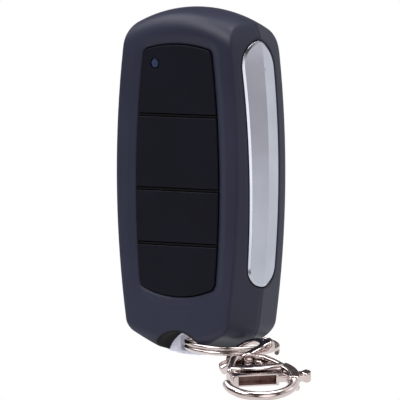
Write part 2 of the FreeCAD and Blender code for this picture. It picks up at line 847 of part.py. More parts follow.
def coinCell():
    # Button cell, its negative face toward the board.
    body = newBody("coin_cell")
    sketch = sketchOn(body, "YZ_Plane", "cell_half", shift=size.cellHeight)
    negativeY = boardBackY + size.contactHeight
    positiveY = negativeY + size.cellThickness
    rimY = negativeY + size.cellThickness * 0.18
    radius = size.cellDiameter / 2
    edge = size.cellThickness * 0.12
    corners = [(negativeY, 0), (positiveY, 0), (positiveY, radius - edge), (positiveY - edge, radius),
               (rimY, radius), (rimY, radius - edge * 3), (negativeY, radius - edge * 3)]
    outline(sketch, corners, {2: (edge, 1)})
    turn = body.newObject("PartDesign::Revolution", "cell_turn")
    turn.Profile = sketch
    turn.ReferenceAxis = (sketch, ["H_Axis"])
    turn.Angle = 360
    return body


keep("coin_cell", coinCell())


def bentStrip(name, corners, width):
    # A sheet-metal strip: its edge outline seen from the side, as wide as given.
    body = newBody(name)
    sketch = sketchOn(body, "YZ_Plane", name + "_edge")
    outline(sketch, corners)
    pad(body, sketch, width, middle=True)
    return body


cellFaceY = boardBackY + size.contactHeight
cellTopY = cellFaceY + size.cellThickness
cellReach = size.cellDiameter / 2 + size.contactThickness
metal = size.contactThickness
z0 = size.cellHeight
keep("battery_clip", bentStrip("battery_clip", [
    (boardBackY, z0 - cellReach - metal), (boardBackY, z0 - cellReach),
    (cellTopY, z0 - cellReach), (cellTopY, z0 + cellReach), (boardBackY, z0 + cellReach),
    (boardBackY, z0 + cellReach + metal), (cellTopY + metal, z0 + cellReach + metal),
    (cellTopY + metal, z0 - cellReach - metal)], size.cellDiameter * 0.35))
leafStart, leafEnd = z0 - size.cellDiameter * 0.2, z0 + size.cellDiameter * 0.2
keep("battery_contact", bentStrip("battery_contact", [
    (boardBackY, leafStart), (boardBackY + metal, leafStart), (boardBackY + metal, z0),
    (cellFaceY, leafEnd - metal), (cellFaceY, leafEnd), (cellFaceY - metal, leafEnd), (boardBackY, z0)],
    size.cellDiameter * 0.2))


def chip():
    # Small-outline package with a row of leads on each side.
    bodyWide, bodyHigh, bodyThick = 3.9, 8.6, 1.35
    leadPitch, leadWide, leadReach, standOff = 1.27, 0.42, 1.05, 0.15
    middleZ = (size.seamThree + size.boardBottom) / 2
    pieces = [box("chip_block", bodyWide, bodyThick, bodyHigh, -bodyWide / 2, boardBackY + standOff,
                  middleZ - bodyHigh / 2)]
    for side in (-1, 1):
        for step in range(6):
            z = middleZ + (step - 2.5) * leadPitch - leadWide / 2
            x = -bodyWide / 2 - leadReach if side < 0 else bodyWide / 2
            pieces.append(box("lead_" + str(side + 1) + "_" + str(step), leadReach, bodyThick / 2, leadWide,
                              x, boardBackY, z))
    return fuse("controller_chip", *pieces)


keep("controller_chip", chip())
canWidth, canDepth, canHeight = 3.8, 1.6, 8.0
keep("resonator", roundedPlate("resonator", asSize(-11.5), asSize(-11.5 + canWidth),
                                   size.seamThree - canHeight, size.seamThree, asSize(1.2), boardBackY, canDepth))


def antennaLoop():
    # Flat copper frame along the board's top edge.
    inset, strip, legs = 1.6, 1.1, 9.0
    outerX = size.boardWidth / 2 - inset
    top = size.boardTop - inset
    body = newBody("antenna_loop")
    sketch = sketchOn(body, "XZ_Plane", "antenna_edge", offset=-boardBackY)
    innerX = outerX - strip
    slope = size.boardCorner
    corners = [(-outerX, top - legs), (-innerX, top - legs), (-innerX, top - slope), (-innerX + slope - strip, top - strip),
               (innerX - slope + strip, top - strip), (innerX, top - slope), (innerX, top - legs),
               (outerX, top - legs), (outerX, top - slope), (outerX - slope, top), (-outerX + slope, top),
               (-outerX, top - slope)]
    outline(sketch, corners)
    pad(body, sketch, size.contactThickness, back=True)
    return body


keep("antenna_loop", antennaLoop())

print("key loop")


def keyLoop():
    # Bright plate held between the shells; its lower edge follows the crown and the ring runs in its slot.
    body = newBody("key_loop_plate")
    sketch = sketchOn(body, "XZ_Plane", "loop_edge", offset=-middleY)
    half = size.loopWidth / 2
    crown = size.bottomCrown
    lowZ = crown - halfLength - root(crown * crown - half * half)
    corners = [(-half, lowZ), (0, -halfLength), (half, lowZ), (half, size.loopTop), (-half, size.loopTop)]
    outline(sketch, corners, {0: (crown, 1), 1: (crown, 1)})
    pad(body, sketch, size.loopThickness, middle=True)
    slot = sketchOn(body, "XZ_Plane", "loop_slot", offset=-middleY)
    across, up, corner = size.slotWidth / 2, size.slotHeight / 2, size.slotCorner
    z = size.slotHeightZ
    ring = [(-across + corner, z - up), (across - corner, z - up), (across, z - up + corner),
            (across, z + up - corner), (across - corner, z + up), (-across + corner, z + up),
            (-across, z + up - corner), (-across, z - up + corner)]
    outline(slot, ring, {1: (corner, 1), 3: (corner, 1), 5: (corner, 1), 7: (corner, 1)})
    pad(body, slot, size.loopThickness * 2, middle=True, cut=True)
    bore = sketchOn(body, "XZ_Plane", "loop_bore", offset=-middleY)
    disc(bore, 0, size.lowerScrew, size.bossDiameter / 2 + size.screwClearance)
    pad(body, bore, size.loopThickness * 2, middle=True, cut=True)
    doc.recompute()
    rounded = doc.addObject("Part::Fillet", "key_loop")
    rounded.Base = body
    rounding = size.slotHeight.value * 0.14
    low, high = (size.slotHeightZ - up).value, (size.slotHeightZ + up).value
    rounded.Edges = [(number, rounding, rounding) for number, edge in enumerate(body.Shape.Edges, start=1)
                     if edge.BoundBox.YLength < 1e-6 and edge.BoundBox.ZMin > low - 1e-4
                     and edge.BoundBox.ZMax < high + 1e-4 and edge.BoundBox.XLength < size.slotWidth.value + 1e-4
                     and abs(edge.CenterOfMass.x) < across.value + 1e-4]
    return rounded


keep("key_loop", keyLoop())

print("split ring")


def biarc(start, startDirection, end, endDirection):
    # Two arcs that leave start and reach end along the given directions.
    span = end - start
    total = startDirection + endDirection
    spread = 2 * (1 - startDirection.dot(endDirection))
    reach = span.dot(total)
    if abs(spread) < 1e-9:
        length = span.dot(span) / (4 * span.dot(endDirection))
    else:
        length = (-reach + math.sqrt(reach * reach + spread * span.dot(span))) / spread
    middle = (start + end + (startDirection - endDirection) * length) * 0.5
    return [arcFrom(start, startDirection, middle), arcFrom(end, endDirection * -1, middle, True)]


def arcFrom(start, direction, end, backward=False):
    # The arc that leaves start along direction and passes through end.
    span = end - start
    side = span - direction * span.dot(direction)
    if side.Length < 1e-9:
        return Part.LineSegment(end, start).toShape() if backward else Part.LineSegment(start, end).toShape()
    radius = span.dot(span) / (2 * side.Length)
    centre = start + side.normalize() * radius
    halfway = (start + end) * 0.5 - centre
    through = centre + halfway.normalize() * radius
    return Part.Arc(end, through, start).toShape() if backward else Part.Arc(start, through, end).toShape()


def wireTube(point, heading, turns, wireRadius, lead=None, tail=None):
    # One unbroken tube along a coil, in quarter turns; lead and tail are straight runs at its ends.
    steps = max(int(round(turns * 4)), 1)
    stations = [turns * i / steps for i in range(steps + 1)]
    edges = []
    for first, last in zip(stations, stations[1:]):
        edges += biarc(point(first), heading(first), point(last), heading(last))
    start, away = point(0), heading(0)
    if lead:
        edges.insert(0, Part.LineSegment(start - away * lead, start).toShape())
        start = start - away * lead
    if tail:
        edges.append(Part.LineSegment(point(turns), point(turns) + heading(turns) * tail).toShape())
    spine = Part.Wire(edges)
    profile = Part.Wire(Part.Circle(start, away, wireRadius).toShape())
    return spine.makePipeShell([profile], True, False)


def leastGap(point, turns, wireRadius):
    # Least distance between the surfaces of turns that lie beside each other, measured on points.
    count = 240
    places = [point(turns * i / count) for i in range(count + 1)]
    perTurn = count / turns
    least = None
    for i, one in enumerate(places):
        for other in places[int(i + perTurn * 0.6):]:
            apart = (other - one).Length - 2 * wireRadius
            least = apart if least is None else min(least, apart)
    return least


def coil(radius, pitch, turns, startTurn=0.0, flatEnd=False):
    def point(turn):
        angle = 2 * math.pi * (turn + startTurn)
        return Vector(radius * math.cos(angle), radius * math.sin(angle), pitch * (turn - turns / 2))

    def heading(turn):
        angle = 2 * math.pi * (turn + startTurn)
        rise = 0.0 if flatEnd and turn == turns else pitch / (2 * math.pi * radius)
        return Vector(-math.sin(angle), math.cos(angle), rise).normalize()
    return point, heading


def direction(turn, dip):
    # A direction turned from +X toward +Y and dipped below the level.
    turn, dip = math.radians(turn), math.radians(dip)
    return Vector(math.cos(turn) * math.cos(dip), math.sin(turn) * math.cos(dip), -math.sin(dip))


ringStart = Vector(size.ringX.value, middleY.value, size.ringZ.value)
ringOut = direction(size.ringTurn.value, size.ringDip.value)
ringAcross = direction(size.ringTurn.value - 90, size.ringFall.value)
ringAxis = ringOut.cross(ringAcross).normalize() * -1
ringAcross = ringAxis.cross(ringOut) * -1
ringCentre = ringStart + ringOut * size.ringRadius.value
ringPoint, ringHeading = coil(size.ringRadius.value, size.ringPitch.value, size.ringTurns.value, 0.04)
ringShape = wireTube(ringPoint, ringHeading, size.ringTurns.value, size.ringWire.value / 2)
ring = doc.addObject("Part::Feature", "split_ring")
ring.Shape = ringShape
ring.Placement = FreeCAD.Placement(ringCentre, FreeCAD.Rotation(ringOut, ringAxis.cross(ringOut), ringAxis, "ZXY"))
keep("split_ring", ring)
print("split ring gap", round(leastGap(ringPoint, size.ringTurns.value, size.ringWire.value / 2), 3))

print("snap hook")
# Hook frame: X across the hook, Z from the hook toward the ring, Y out of the hook's flat.
hookAxis = Vector(0.6666, -0.6614, -0.3438).normalize()
hookAcross = Vector(0.7140, 0.6987, 0.0409)
hookAcross = (hookAcross - hookAxis * hookAcross.dot(hookAxis)).normalize()
hookUp = hookAcross.cross(hookAxis) * -1
eyeAngle = math.radians(size.eyePlace.value)
ringHold = ringCentre + (ringOut * math.cos(eyeAngle) + ringAcross * math.sin(eyeAngle)) * size.ringRadius.value
swivelPoint = ringHold + hookAxis * size.eyeAlong.value + hookUp * size.eyeLift.value
swivelPoint += hookAcross * size.eyeSide.value
hookTurn = FreeCAD.Rotation(hookAcross, hookUp * -1, hookAxis * -1, "ZXY")
hookPlacement = FreeCAD.Placement(swivelPoint, hookTurn)
eyeTurn = hookTurn.multiply(FreeCAD.Rotation(Vector(0, 0, 1), -size.eyeTwist.value))
eyePlacement = FreeCAD.Placement(swivelPoint, eyeTurn)
postReach = 3.2
postHead = 0.8
baseTop = size.earHeight / 2 + size.swivelClearance * 2
baseWall = 1.2


def swivelEye():
    # Bow that the ring runs in, on a cross bar with rounded ears, and the post that the hook turns on.
    body = newBody("eye_bow")
    sketch = sketchOn(body, "XZ_Plane", "bow_edge")
    ear = size.earHeight / 2
    span = size.earSpan / 2 - ear
    outer = size.eyeInside + size.eyeWire
    shoulder = size.eyeHeight - outer
    corners = [(-span, -ear), (span, -ear), (span + ear, 0), (span, ear), (outer, ear), (outer, shoulder),
               (0, size.eyeHeight), (-outer, shoulder), (-outer, ear), (-span, ear), (-span - ear, 0)]
    outline(sketch, corners, {1: (ear, 1), 2: (ear, 1), 5: (outer, 1), 6: (outer, 1), 9: (ear, 1), 10: (ear, 1)})
    pad(body, sketch, size.eyeThickness, middle=True)
    window = sketchOn(body, "XZ_Plane", "bow_window")
    inner = size.eyeInside
    hole = [(-inner, ear), (inner, ear), (inner, shoulder), (0, shoulder + inner), (-inner, shoulder)]
    outline(window, hole, {2: (inner, 1), 3: (inner, 1)})
    pad(body, window, size.eyeThickness * 3, middle=True, cut=True)
    post = rod("eye_post", size.postRadius, postReach - ear, 0, 0, -ear, Vector(0, 0, -1))
    headZ = -(baseTop + baseWall + size.swivelClearance)
    head = rod("eye_post_head", size.postHeadRadius, postHead, 0, 0, headZ, Vector(0, 0, -1))
    return fuse("swivel_eye", body, post, head)


keep("swivel_eye", swivelEye()).Placement = eyePlacement

hookX, hookZ = 1.3, -13.2
pivotAngle = 13.0
springX, springZ = asSize(1.8), asSize(-5.6)
floorThickness = 1.0


def onHook(angle, radius):
    turn = math.radians(angle)
    return (hookX + math.cos(turn) * radius, hookZ + math.sin(turn) * radius)


def sector(body, name, inner, outer, fromAngle, toAngle):
    # A bent band about the hook's middle.
    sketch = sketchOn(body, "XZ_Plane", name)
    corners = [onHook(fromAngle, outer), onHook(toAngle, outer), onHook(toAngle, inner), onHook(fromAngle, inner)]
    outline(sketch, corners, {0: (outer, 1), 2: (inner, -1)})
    return sketch


def hookBody():
    # Cast plate with a pocket, a forked side for the gate, and a round hook that curls to its tip.
    body = newBody("hook_plate")
    plate = sketchOn(body, "XZ_Plane", "plate_edge")
    top = -baseTop
    corners = [(-3.4, top), (3.6, top), (4.6, -3.2), (8.3, -8.6), (7.2, -9.9), (-4.7, -9.6), (-5.2, -8.7)]
    outline(plate, corners, {4: (14.0, 1)})
    pad(body, plate, size.hookPlate, middle=True)
    fork = sector(body, "fork_edge", size.hookRadius - size.forkWidth / 2, size.hookRadius + size.forkWidth / 2, -16.0, 40.0)
    pad(body, fork, size.forkHeight, middle=True)
    slot = sector(body, "fork_slot", size.hookRadius - size.forkWidth, size.hookRadius + size.forkWidth, -7.0, 31.0)
    pad(body, slot, size.forkSlot, middle=True, cut=True)
    window = sketchOn(body, "XZ_Plane", "plate_window", offset=floorThickness - size.hookPlate / 2)
    pocketTop = -(baseTop + baseWall)
    loop = [(-2.5, pocketTop), (3.0, pocketTop), (3.7, -4.0), (6.0, -7.6), (-3.8, -7.6)]
    outline(window, loop)
    pad(body, window, size.hookPlate, back=True, cut=True)
    curl = doc.addObject("Part::Torus", "hook_curl")
    bind(curl, "Radius1", size.hookRadius)
    bind(curl, "Radius2", size.hookWire / 2)
    curl.Angle3 = 163.5
    curl.Placement = FreeCAD.Placement(Vector(hookX, 0, hookZ), FreeCAD.Rotation(
        Vector(*directionOnHook(-176.0)), Vector(0, 0, 0), Vector(0, -1, 0), "ZXY"))
    tipX, tipZ = onHook(-176.0, size.hookRadius.value)
    tip = doc.addObject("Part::Sphere", "hook_tip")
    bind(tip, "Radius", size.hookWire / 2)
    tip.Placement.Base = Vector(tipX, 0, tipZ)
    bore = rod("post_bore", size.postRadius + size.swivelClearance, baseTop + baseWall + 1.0, 0, 0, 0, Vector(0, 0, -1))
    pivotX, pivotZ = onHook(pivotAngle, size.hookRadius.value)
    pinBore = rod("pin_bore", size.gatePinDiameter / 2 + size.gateClearance, size.forkHeight * 2, pivotX,
                  size.forkHeight, pivotZ, front)
    headRoom = rod("head_room", size.postHeadRadius + size.swivelClearance, postHead + size.swivelClearance * 2,
                   0, 0, -(baseTop + baseWall), Vector(0, 0, -1))
    tailSlot = box("tail_slot", size.springWire * 2.4, size.hookPlate, 4.0,
                   springX - size.springRadius - size.springWire * 1.2, -size.hookPlate * 1.2, -10.5)
    solids = [body, curl, tip]
    floorY = size.hookPlate / 2 - floorThickness
    solids.append(rod("spring_stud", size.springRadius - size.springWire, 1.8, springX, floorY, springZ, front))
    solids.append(cut("plate_ring", rod("plate_ring_out", 0.85, 1.6, -0.4, floorY, springZ, front),
                      rod("plate_ring_in", 0.45, 1.8, -0.4, floorY, springZ, front)))
    tools = fuse("hook_bores", bore, pinBore, headRoom, tailSlot)
    return cut("hook_body", fuse("hook_solids", *solids), tools)


def directionOnHook(angle):
    turn = math.radians(angle)
    return (math.cos(turn), 0, math.sin(turn))


keep("hook_body", hookBody()).Placement = hookPlacement


def gateLever():
    # Channel that closes the hook's mouth, hung in the fork, with a thumb tab outside.
    body = newBody("gate_blank")
    pivotX, pivotZ = onHook(pivotAngle, size.hookRadius.value)
    bar = sketchOn(body, "XZ_Plane", "gate_bar")
    high, low = -10.25, -12.55
    corners = [(-4.7, high), (5.5, high), (5.5, low), (-2.6, low), (-2.9, -12.95), (-4.7, -12.95)]
    outline(bar, corners)
    pad(body, bar, size.gateChannel, middle=True)
    tab = sketchOn(body, "XZ_Plane", "gate_tab")
    tabHalf = 1.2
    tabEnd = 12.4
    tabCorners = [(4.0, pivotZ - tabHalf), (tabEnd - tabHalf, pivotZ - tabHalf), (tabEnd, pivotZ),
                  (tabEnd - tabHalf, pivotZ + tabHalf), (4.0, pivotZ + tabHalf)]
    outline(tab, tabCorners, {1: (tabHalf, 1), 2: (tabHalf, 1)})
    pad(body, tab, size.gateThickness, middle=True)
    channel = box("gate_channel", 7.2, size.gateChannel * 0.68, 1.75, -2.7, -size.gateChannel * 0.34, low - 0.1)
    pinBore = rod("gate_bore", size.gatePinDiameter / 2 + size.gateClearance, size.forkHeight * 2, pivotX,
                  size.forkHeight, pivotZ, front)
    return cut("gate_lever", body, fuse("gate_tools", channel, pinBore))


keep("gate_lever", gateLever()).Placement = hookPlacement

pivotX, pivotZ = onHook(pivotAngle, size.hookRadius.value)
pin = rod("gate_pin", size.gatePinDiameter / 2, size.forkHeight, 0, 0, 0, front)
keep("gate_pin", pin).Placement = hookPlacement.multiply(FreeCAD.Placement(
    Vector(pivotX, size.forkHeight.value / 2, pivotZ), FreeCAD.Rotation(Vector(0, 0, 1), front)))

springPoint, springHeading = coil(size.springRadius.value, size.springPitch.value, size.springTurns.value,
                                  flatEnd=True)
springShape = wireTube(springPoint, springHeading, size.springTurns.value, size.springWire.value / 2,
                       tail=size.springTail.value)
spring = doc.addObject("Part::Feature", "gate_spring")
spring.Shape = springShape
springPlace = FreeCAD.Placement(Vector(springX.value, -0.55, springZ.value), FreeCAD.Rotation(Vector(0, 0, 1), front))
keep("gate_spring", spring).Placement = hookPlacement.multiply(springPlace)
print("gate spring gap", round(leastGap(springPoint, size.springTurns.value, size.springWire.value / 2), 3))

doc.recompute()
print("checking")
for item in doc.Objects:
    if "Invalid" in item.State or "Error" in item.State:
        raise RuntimeError("failed: " + item.Name + " " + str(item.State))
for name, item in subParts.items():
    shape = item.Shape
    if shape.isNull() or not shape.isValid() or not shape.Solids:
        raise RuntimeError("bad shape: " + name)
    shape.exportStep("parts/" + name + ".step")
    print(name, len(shape.Solids), round(shape.Volume, 3))
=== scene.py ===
import math

import bmesh
import bpy
from mathutils import Matrix, Vector
from mathutils.bvhtree import BVHTree


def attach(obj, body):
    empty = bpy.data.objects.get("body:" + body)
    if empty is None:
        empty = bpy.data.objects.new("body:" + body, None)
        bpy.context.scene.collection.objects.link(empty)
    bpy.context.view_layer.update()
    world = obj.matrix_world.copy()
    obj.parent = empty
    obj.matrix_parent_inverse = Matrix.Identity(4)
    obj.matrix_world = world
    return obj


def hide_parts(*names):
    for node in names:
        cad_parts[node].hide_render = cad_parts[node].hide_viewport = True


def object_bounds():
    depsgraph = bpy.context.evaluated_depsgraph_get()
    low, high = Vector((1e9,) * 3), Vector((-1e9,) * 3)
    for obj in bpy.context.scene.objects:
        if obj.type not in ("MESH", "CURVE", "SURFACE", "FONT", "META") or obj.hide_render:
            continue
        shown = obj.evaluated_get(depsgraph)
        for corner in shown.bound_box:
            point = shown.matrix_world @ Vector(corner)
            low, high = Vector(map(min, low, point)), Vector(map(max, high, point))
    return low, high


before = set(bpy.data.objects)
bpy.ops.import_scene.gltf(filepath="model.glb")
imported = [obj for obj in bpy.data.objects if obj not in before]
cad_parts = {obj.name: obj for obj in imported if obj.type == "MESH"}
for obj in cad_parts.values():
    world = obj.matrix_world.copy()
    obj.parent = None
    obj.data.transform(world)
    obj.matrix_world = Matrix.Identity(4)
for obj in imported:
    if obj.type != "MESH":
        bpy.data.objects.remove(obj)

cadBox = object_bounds()
mm = 0.001

# camera, fitted to the photograph: pixel numbers are in its 400 by 400 frame

cameraFit = {
    "distance": 1.5,
    "width": 0.0872,
    "sensor": 36.0,
    "clip": (0.01, 20),
    "toCamera": Vector((0.6145, -0.7865, 0.061)),
    "right": Vector((0.788, 0.616, 0.0)),
    "origin": Vector((0.0, -7.85, 0.0)) * mm,
    "originPixel": (197.6, 180.0),
    "middlePixel": 200,
    "pixel": 0.218 * mm,
}


def makeCamera():
    backward = cameraFit["toCamera"].normalized()
    right = cameraFit["right"].normalized()
    up = backward.cross(right)
    across, down = (cameraFit["middlePixel"] - place for place in cameraFit["originPixel"])
    target = cameraFit["origin"] + (right * across - up * down) * cameraFit["pixel"]
    data = bpy.data.cameras.new("camera")
    data.sensor_width = cameraFit["sensor"]
    data.lens = cameraFit["sensor"] * cameraFit["distance"] / cameraFit["width"]
    data.clip_start, data.clip_end = cameraFit["clip"]
    camera = bpy.data.objects.new("camera", data)
    bpy.context.scene.collection.objects.link(camera)
    turn = Matrix((right, up, backward)).transposed().to_4x4()
    camera.matrix_world = Matrix.Translation(target + backward * cameraFit["distance"]) @ turn
    bpy.context.scene.camera = camera


makeCamera()
bpy.context.scene.view_settings.view_transform = "Standard"
print("camera placed")


# shader building

class Amount:
    # A shader socket that can be added and multiplied like a number.
    def __init__(self, sheet, socket):
        self.sheet = sheet
        self.socket = socket

    def maths(self, operation, *others):
        return self.sheet.maths(operation, self, *others)

    def __add__(self, other):
        return self.maths("ADD", other)

    def __radd__(self, other):
        return self.maths("ADD", other)

    def __mul__(self, other):
        return self.maths("MULTIPLY", other)

    def __rmul__(self, other):
        return self.maths("MULTIPLY", other)


class Sheet:
    # A node tree and the calls that fill it.
    def __init__(self, tree, coordinate="Object"):
        self.tree = tree
        self.tree.nodes.clear()
        self.position = self.node("ShaderNodeTexCoord").outputs[coordinate]

    def node(self, kind, sockets=None, **settings):
        made = self.tree.nodes.new(kind)
        for name, value in settings.items():
            setattr(made, name, value)
        for name, value in (sockets or {}).items():
            self.feed(made.inputs[name], value)
        return made

    def feed(self, socket, value):
        if isinstance(value, Amount):
            value = value.socket
        if isinstance(value, bpy.types.NodeSocket):
            self.tree.links.new(value, socket)
        elif socket.type == "RGBA" and len(value) == 3:
            socket.default_value = (*value, 1.0)
        else:
            socket.default_value = value

    def maths(self, operation, *amounts):
        made = self.node("ShaderNodeMath", dict(enumerate(amounts)), operation=operation)
        return Amount(self, made.outputs[0])

    def moved(self, **sockets):
        # The place on the surface, scaled and then shifted.
        made = self.node("ShaderNodeMapping", {"Vector": self.position, **sockets})
        return made.outputs["Vector"]

    def length(self, vector):
        made = self.node("ShaderNodeVectorMath", {0: vector}, operation="LENGTH")
        return Amount(self, made.outputs["Value"])

    def axis(self, name):
        split = self.node("ShaderNodeSeparateXYZ", {"Vector": self.position})
        return Amount(self, split.outputs[name])

    def noise(self, scale, detail=2.0, roughness=0.5, stretch=None):
        where = self.moved(Scale=stretch) if stretch else self.position
        made = self.node("ShaderNodeTexNoise", {"Vector": where, "Scale": scale, "Detail": detail,
                                                "Roughness": roughness})
        return Amount(self, made.outputs["Fac"])

    def ranged(self, value, low, high, start=0.0, end=1.0, kind="LINEAR"):
        made = self.node("ShaderNodeMapRange", {"Value": value, "From Min": start, "From Max": end,
                                                "To Min": low, "To Max": high}, interpolation_type=kind)
        return Amount(self, made.outputs["Result"])

    def mix(self, factor, first, second):
        # The Mix node's colour sockets are numbers 6 and 7 in and 2 out.
        made = self.node("ShaderNodeMix", data_type="RGBA")
        for index, value in ((0, factor), (6, first), (7, second)):
            self.feed(made.inputs[index], value)
        return made.outputs[2]

    def bump(self, height, strength, distance, edge=0.0):
        # Fine relief; edge is the radius in metres by which corners look rounded.
        sockets = {"Height": height, "Strength": strength, "Distance": distance}
        if edge:
            sockets["Normal"] = self.node("ShaderNodeBevel", {"Radius": edge}, samples=6).outputs["Normal"]
        return self.node("ShaderNodeBump", sockets).outputs["Normal"]


class Surface(Sheet):
    # One material with a principled shader.
    def __init__(self, name, **constants):
        self.material = bpy.data.materials.new(name)
        self.material.use_nodes = True
        super().__init__(self.material.node_tree)
        self.shader = self.node("ShaderNodeBsdfPrincipled", constants)
        self.end = self.node("ShaderNodeOutputMaterial", {"Surface": self.shader.outputs["BSDF"]})

    def give(self, **sockets):
        for name, value in sockets.items():
            self.feed(self.shader.inputs[name.replace("_", " ")], value)
        return self.material


def linear(red, green, blue):
    # Screen colour numbers from 0 to 255 as scene-linear values.
    shares = [number / 255 for number in (red, green, blue)]
    return tuple(share / 12.92 if share < 0.0404 else ((share + 0.055) / 1.055) ** 2.4 for share in shares)


# finishes: noise scales per metre, relief as strength and depth, rough as the least and most roughness

looks = {
    "shell": {
        "dark": linear(32, 35, 52), "light": linear(38, 41, 59), "cloudScale": 60.0, "grainScale": 4200.0,
        "relief": (0.35, 0.02 * mm), "rough": (0.4, 0.48), "gloss": 0.26, "edge": 1.1 * mm,
        # painted shade: the wall of the scoop over the key loop and the housing's underside are darkened
        # toward this near-black colour and made rougher
        "scoop": {"height": -40.2 * mm, "radius": 7.65 * mm, "soft": 0.6 * mm, "rougher": 0.45,
                  "under": (-33.8 * mm, -36.2 * mm), "underShare": 0.7, "colour": linear(6, 6, 9)},
    },
    "key": {
        "dark": linear(8, 8, 19), "light": linear(12, 12, 25), "cloudScale": 80.0, "grainScale": 5200.0,
        "relief": (0.4, 0.02 * mm), "rough": (0.5, 0.6), "gloss": 0.12, "edge": 0.2 * mm,
    },
    "inner": {
        "dark": linear(4, 4, 6), "light": linear(8, 8, 10), "cloudScale": 90.0, "grainScale": 5000.0,
        "relief": (0.3, 0.02 * mm), "rough": (0.6, 0.7), "gloss": 0.12,
    },
    "seal": {
        "dark": linear(40, 40, 42), "light": linear(52, 52, 54), "cloudScale": 120.0, "grainScale": 4000.0,
        "relief": (0.4, 0.03 * mm), "rough": (0.7, 0.85), "gloss": 0.3,
    },
    "plunger": {
        "dark": linear(190, 188, 178), "light": linear(206, 204, 196), "cloudScale": 150.0,
        "grainScale": 5000.0, "relief": (0.2, 0.01 * mm), "rough": (0.45, 0.6), "gloss": 0.3,
    },
    "board": {
        "dark": linear(12, 80, 42), "light": linear(20, 98, 54), "cloudScale": 200.0, "grainScale": 3000.0,
        "relief": (0.3, 0.02 * mm), "rough": (0.25, 0.4), "gloss": 0.3,
    },
    "lamp": {
        "dark": linear(180, 60, 50), "light": linear(205, 90, 80), "cloudScale": 500.0, "grainScale": 4000.0,
        "relief": (0.1, 0.01 * mm), "rough": (0.1, 0.2), "gloss": 0.3,
    },
    "pipe": {
        "dark": linear(34, 42, 64), "light": linear(50, 60, 88), "cloudScale": 700.0, "grainScale": 5000.0,
        "relief": (0.1, 0.01 * mm), "rough": (0.12, 0.2), "gloss": 0.5,
    },
    "strip": {
        "dark": linear(176, 180, 191), "light": linear(185, 189, 200), "cloudScale": 90.0,
        "markScale": 2600.0, "relief": (0.06, 0.01 * mm), "rough": (0.15, 0.22), "edge": 0.12 * mm,
        "stretch": (1.0, 1.0, 0.06),
    },
    "nickel": {
        "dark": linear(194, 181, 178), "light": linear(211, 200, 197), "cloudScale": 220.0,
        "markScale": 1500.0, "relief": (0.08, 0.03 * mm), "rough": (0.09, 0.17),
    },
    # painted shade: a darker, brownish copy of the nickel for the hook pocket's floor and back wall and the
    # gate's web
    "recess": {
        "dark": linear(74, 54, 50), "light": linear(112, 92, 88), "cloudScale": 420.0, "markScale": 1500.0,
        "relief": (0.2, 0.03 * mm), "rough": (0.3, 0.42),
    },
    "loop": {
        "dark": linear(228, 230, 246), "light": linear(234, 236, 250), "cloudScale": 150.0,
        "markScale": 1800.0, "relief": (0.06, 0.02 * mm), "rough": (0.2, 0.28), "edge": 0.3 * mm,
        "metal": 0.05,
    },
    "steel": {
        "dark": linear(176, 176, 178), "light": linear(196, 196, 198), "cloudScale": 200.0,
        "markScale": 900.0, "relief": (0.2, 0.02 * mm), "rough": (0.22, 0.36), "stretch": (1.0, 1.0, 12.0),
    },
    "copper": {
        "dark": linear(176, 108, 78), "light": linear(200, 132, 98), "cloudScale": 260.0, "markScale": 1200.0,
        "relief": (0.2, 0.02 * mm), "rough": (0.25, 0.4),
    },
}


plasticSpan = (0.3, 0.7)  # the part of a noise's range that is stretched over a whole look
platingSpan = (0.35, 0.65)


def scoopShade(sheet, scoop):
    # How far a place is on the wall of the round scoop over the key loop, or on the housing's underside: the
    # share of painted shade there.
    fromAxis = sheet.length(sheet.moved(Location=(0.0, 0.0, -scoop["height"]), Scale=(1.0, 0.0, 1.0)))
    wall = sheet.ranged(fromAxis, 1.0, 0.0, scoop["radius"], scoop["radius"] + scoop["soft"])
    under = sheet.ranged(sheet.axis("Z"), 0.0, scoop["underShare"], *scoop["under"])
    return wall.maths("MAXIMUM", under)


def grainedPlastic(name, look):
    # Moulded plastic: spark-eroded grain, cloudy colour and slightly worn high spots.
    sheet = Surface(name, **{"Specular IOR Level": look["gloss"]})
    cloud = sheet.noise(look["cloudScale"], 3.0)
    grain = sheet.noise(look["grainScale"], 2.0, 0.6)
    speck = sheet.noise(look["grainScale"] * 3.1, 1.0)
    tone = sheet.ranged(cloud * 0.75 + grain * 0.25, 0.0, 1.0, *plasticSpan)
    colour = sheet.mix(tone, look["dark"], look["light"])
    normal = sheet.bump(grain * 0.6 + speck * 0.4, *look["relief"], look.get("edge", 0.0))
    rough = sheet.ranged(cloud * 0.5 + speck * 0.5, *look["rough"], *plasticSpan)
    # painted shade: the scoop's wall and the underside are darkened and made rougher
    if "scoop" in look:
        shade = scoopShade(sheet, look["scoop"])
        colour = sheet.mix(shade, colour, look["scoop"]["colour"])
        rough = rough + shade * look["scoop"]["rougher"]
    return sheet.give(Base_Color=colour, Roughness=rough, Normal=normal)


def plated(name, look):
    # Bright plating: a little uneven, faint handling marks, duller in its roughest spots.
    sheet = Surface(name, Metallic=look.get("metal", 1.0))
    cloud = sheet.noise(look["cloudScale"], 3.0)
    marks = sheet.noise(look["markScale"], 4.0, 0.65, look.get("stretch"))
    colour = sheet.mix(sheet.ranged(cloud, 0.0, 1.0, *platingSpan), look["dark"], look["light"])
    rough = sheet.ranged(marks * 0.7 + cloud * 0.3, *look["rough"], *platingSpan)
    normal = sheet.bump(cloud * 0.7 + marks * 0.3, *look["relief"], look.get("edge", 0.0))
    return sheet.give(Base_Color=colour, Roughness=rough, Normal=normal)


materials = {}
for name, look in looks.items():
    materials[name] = grainedPlastic(name, look) if "grainScale" in look else plated(name, look)

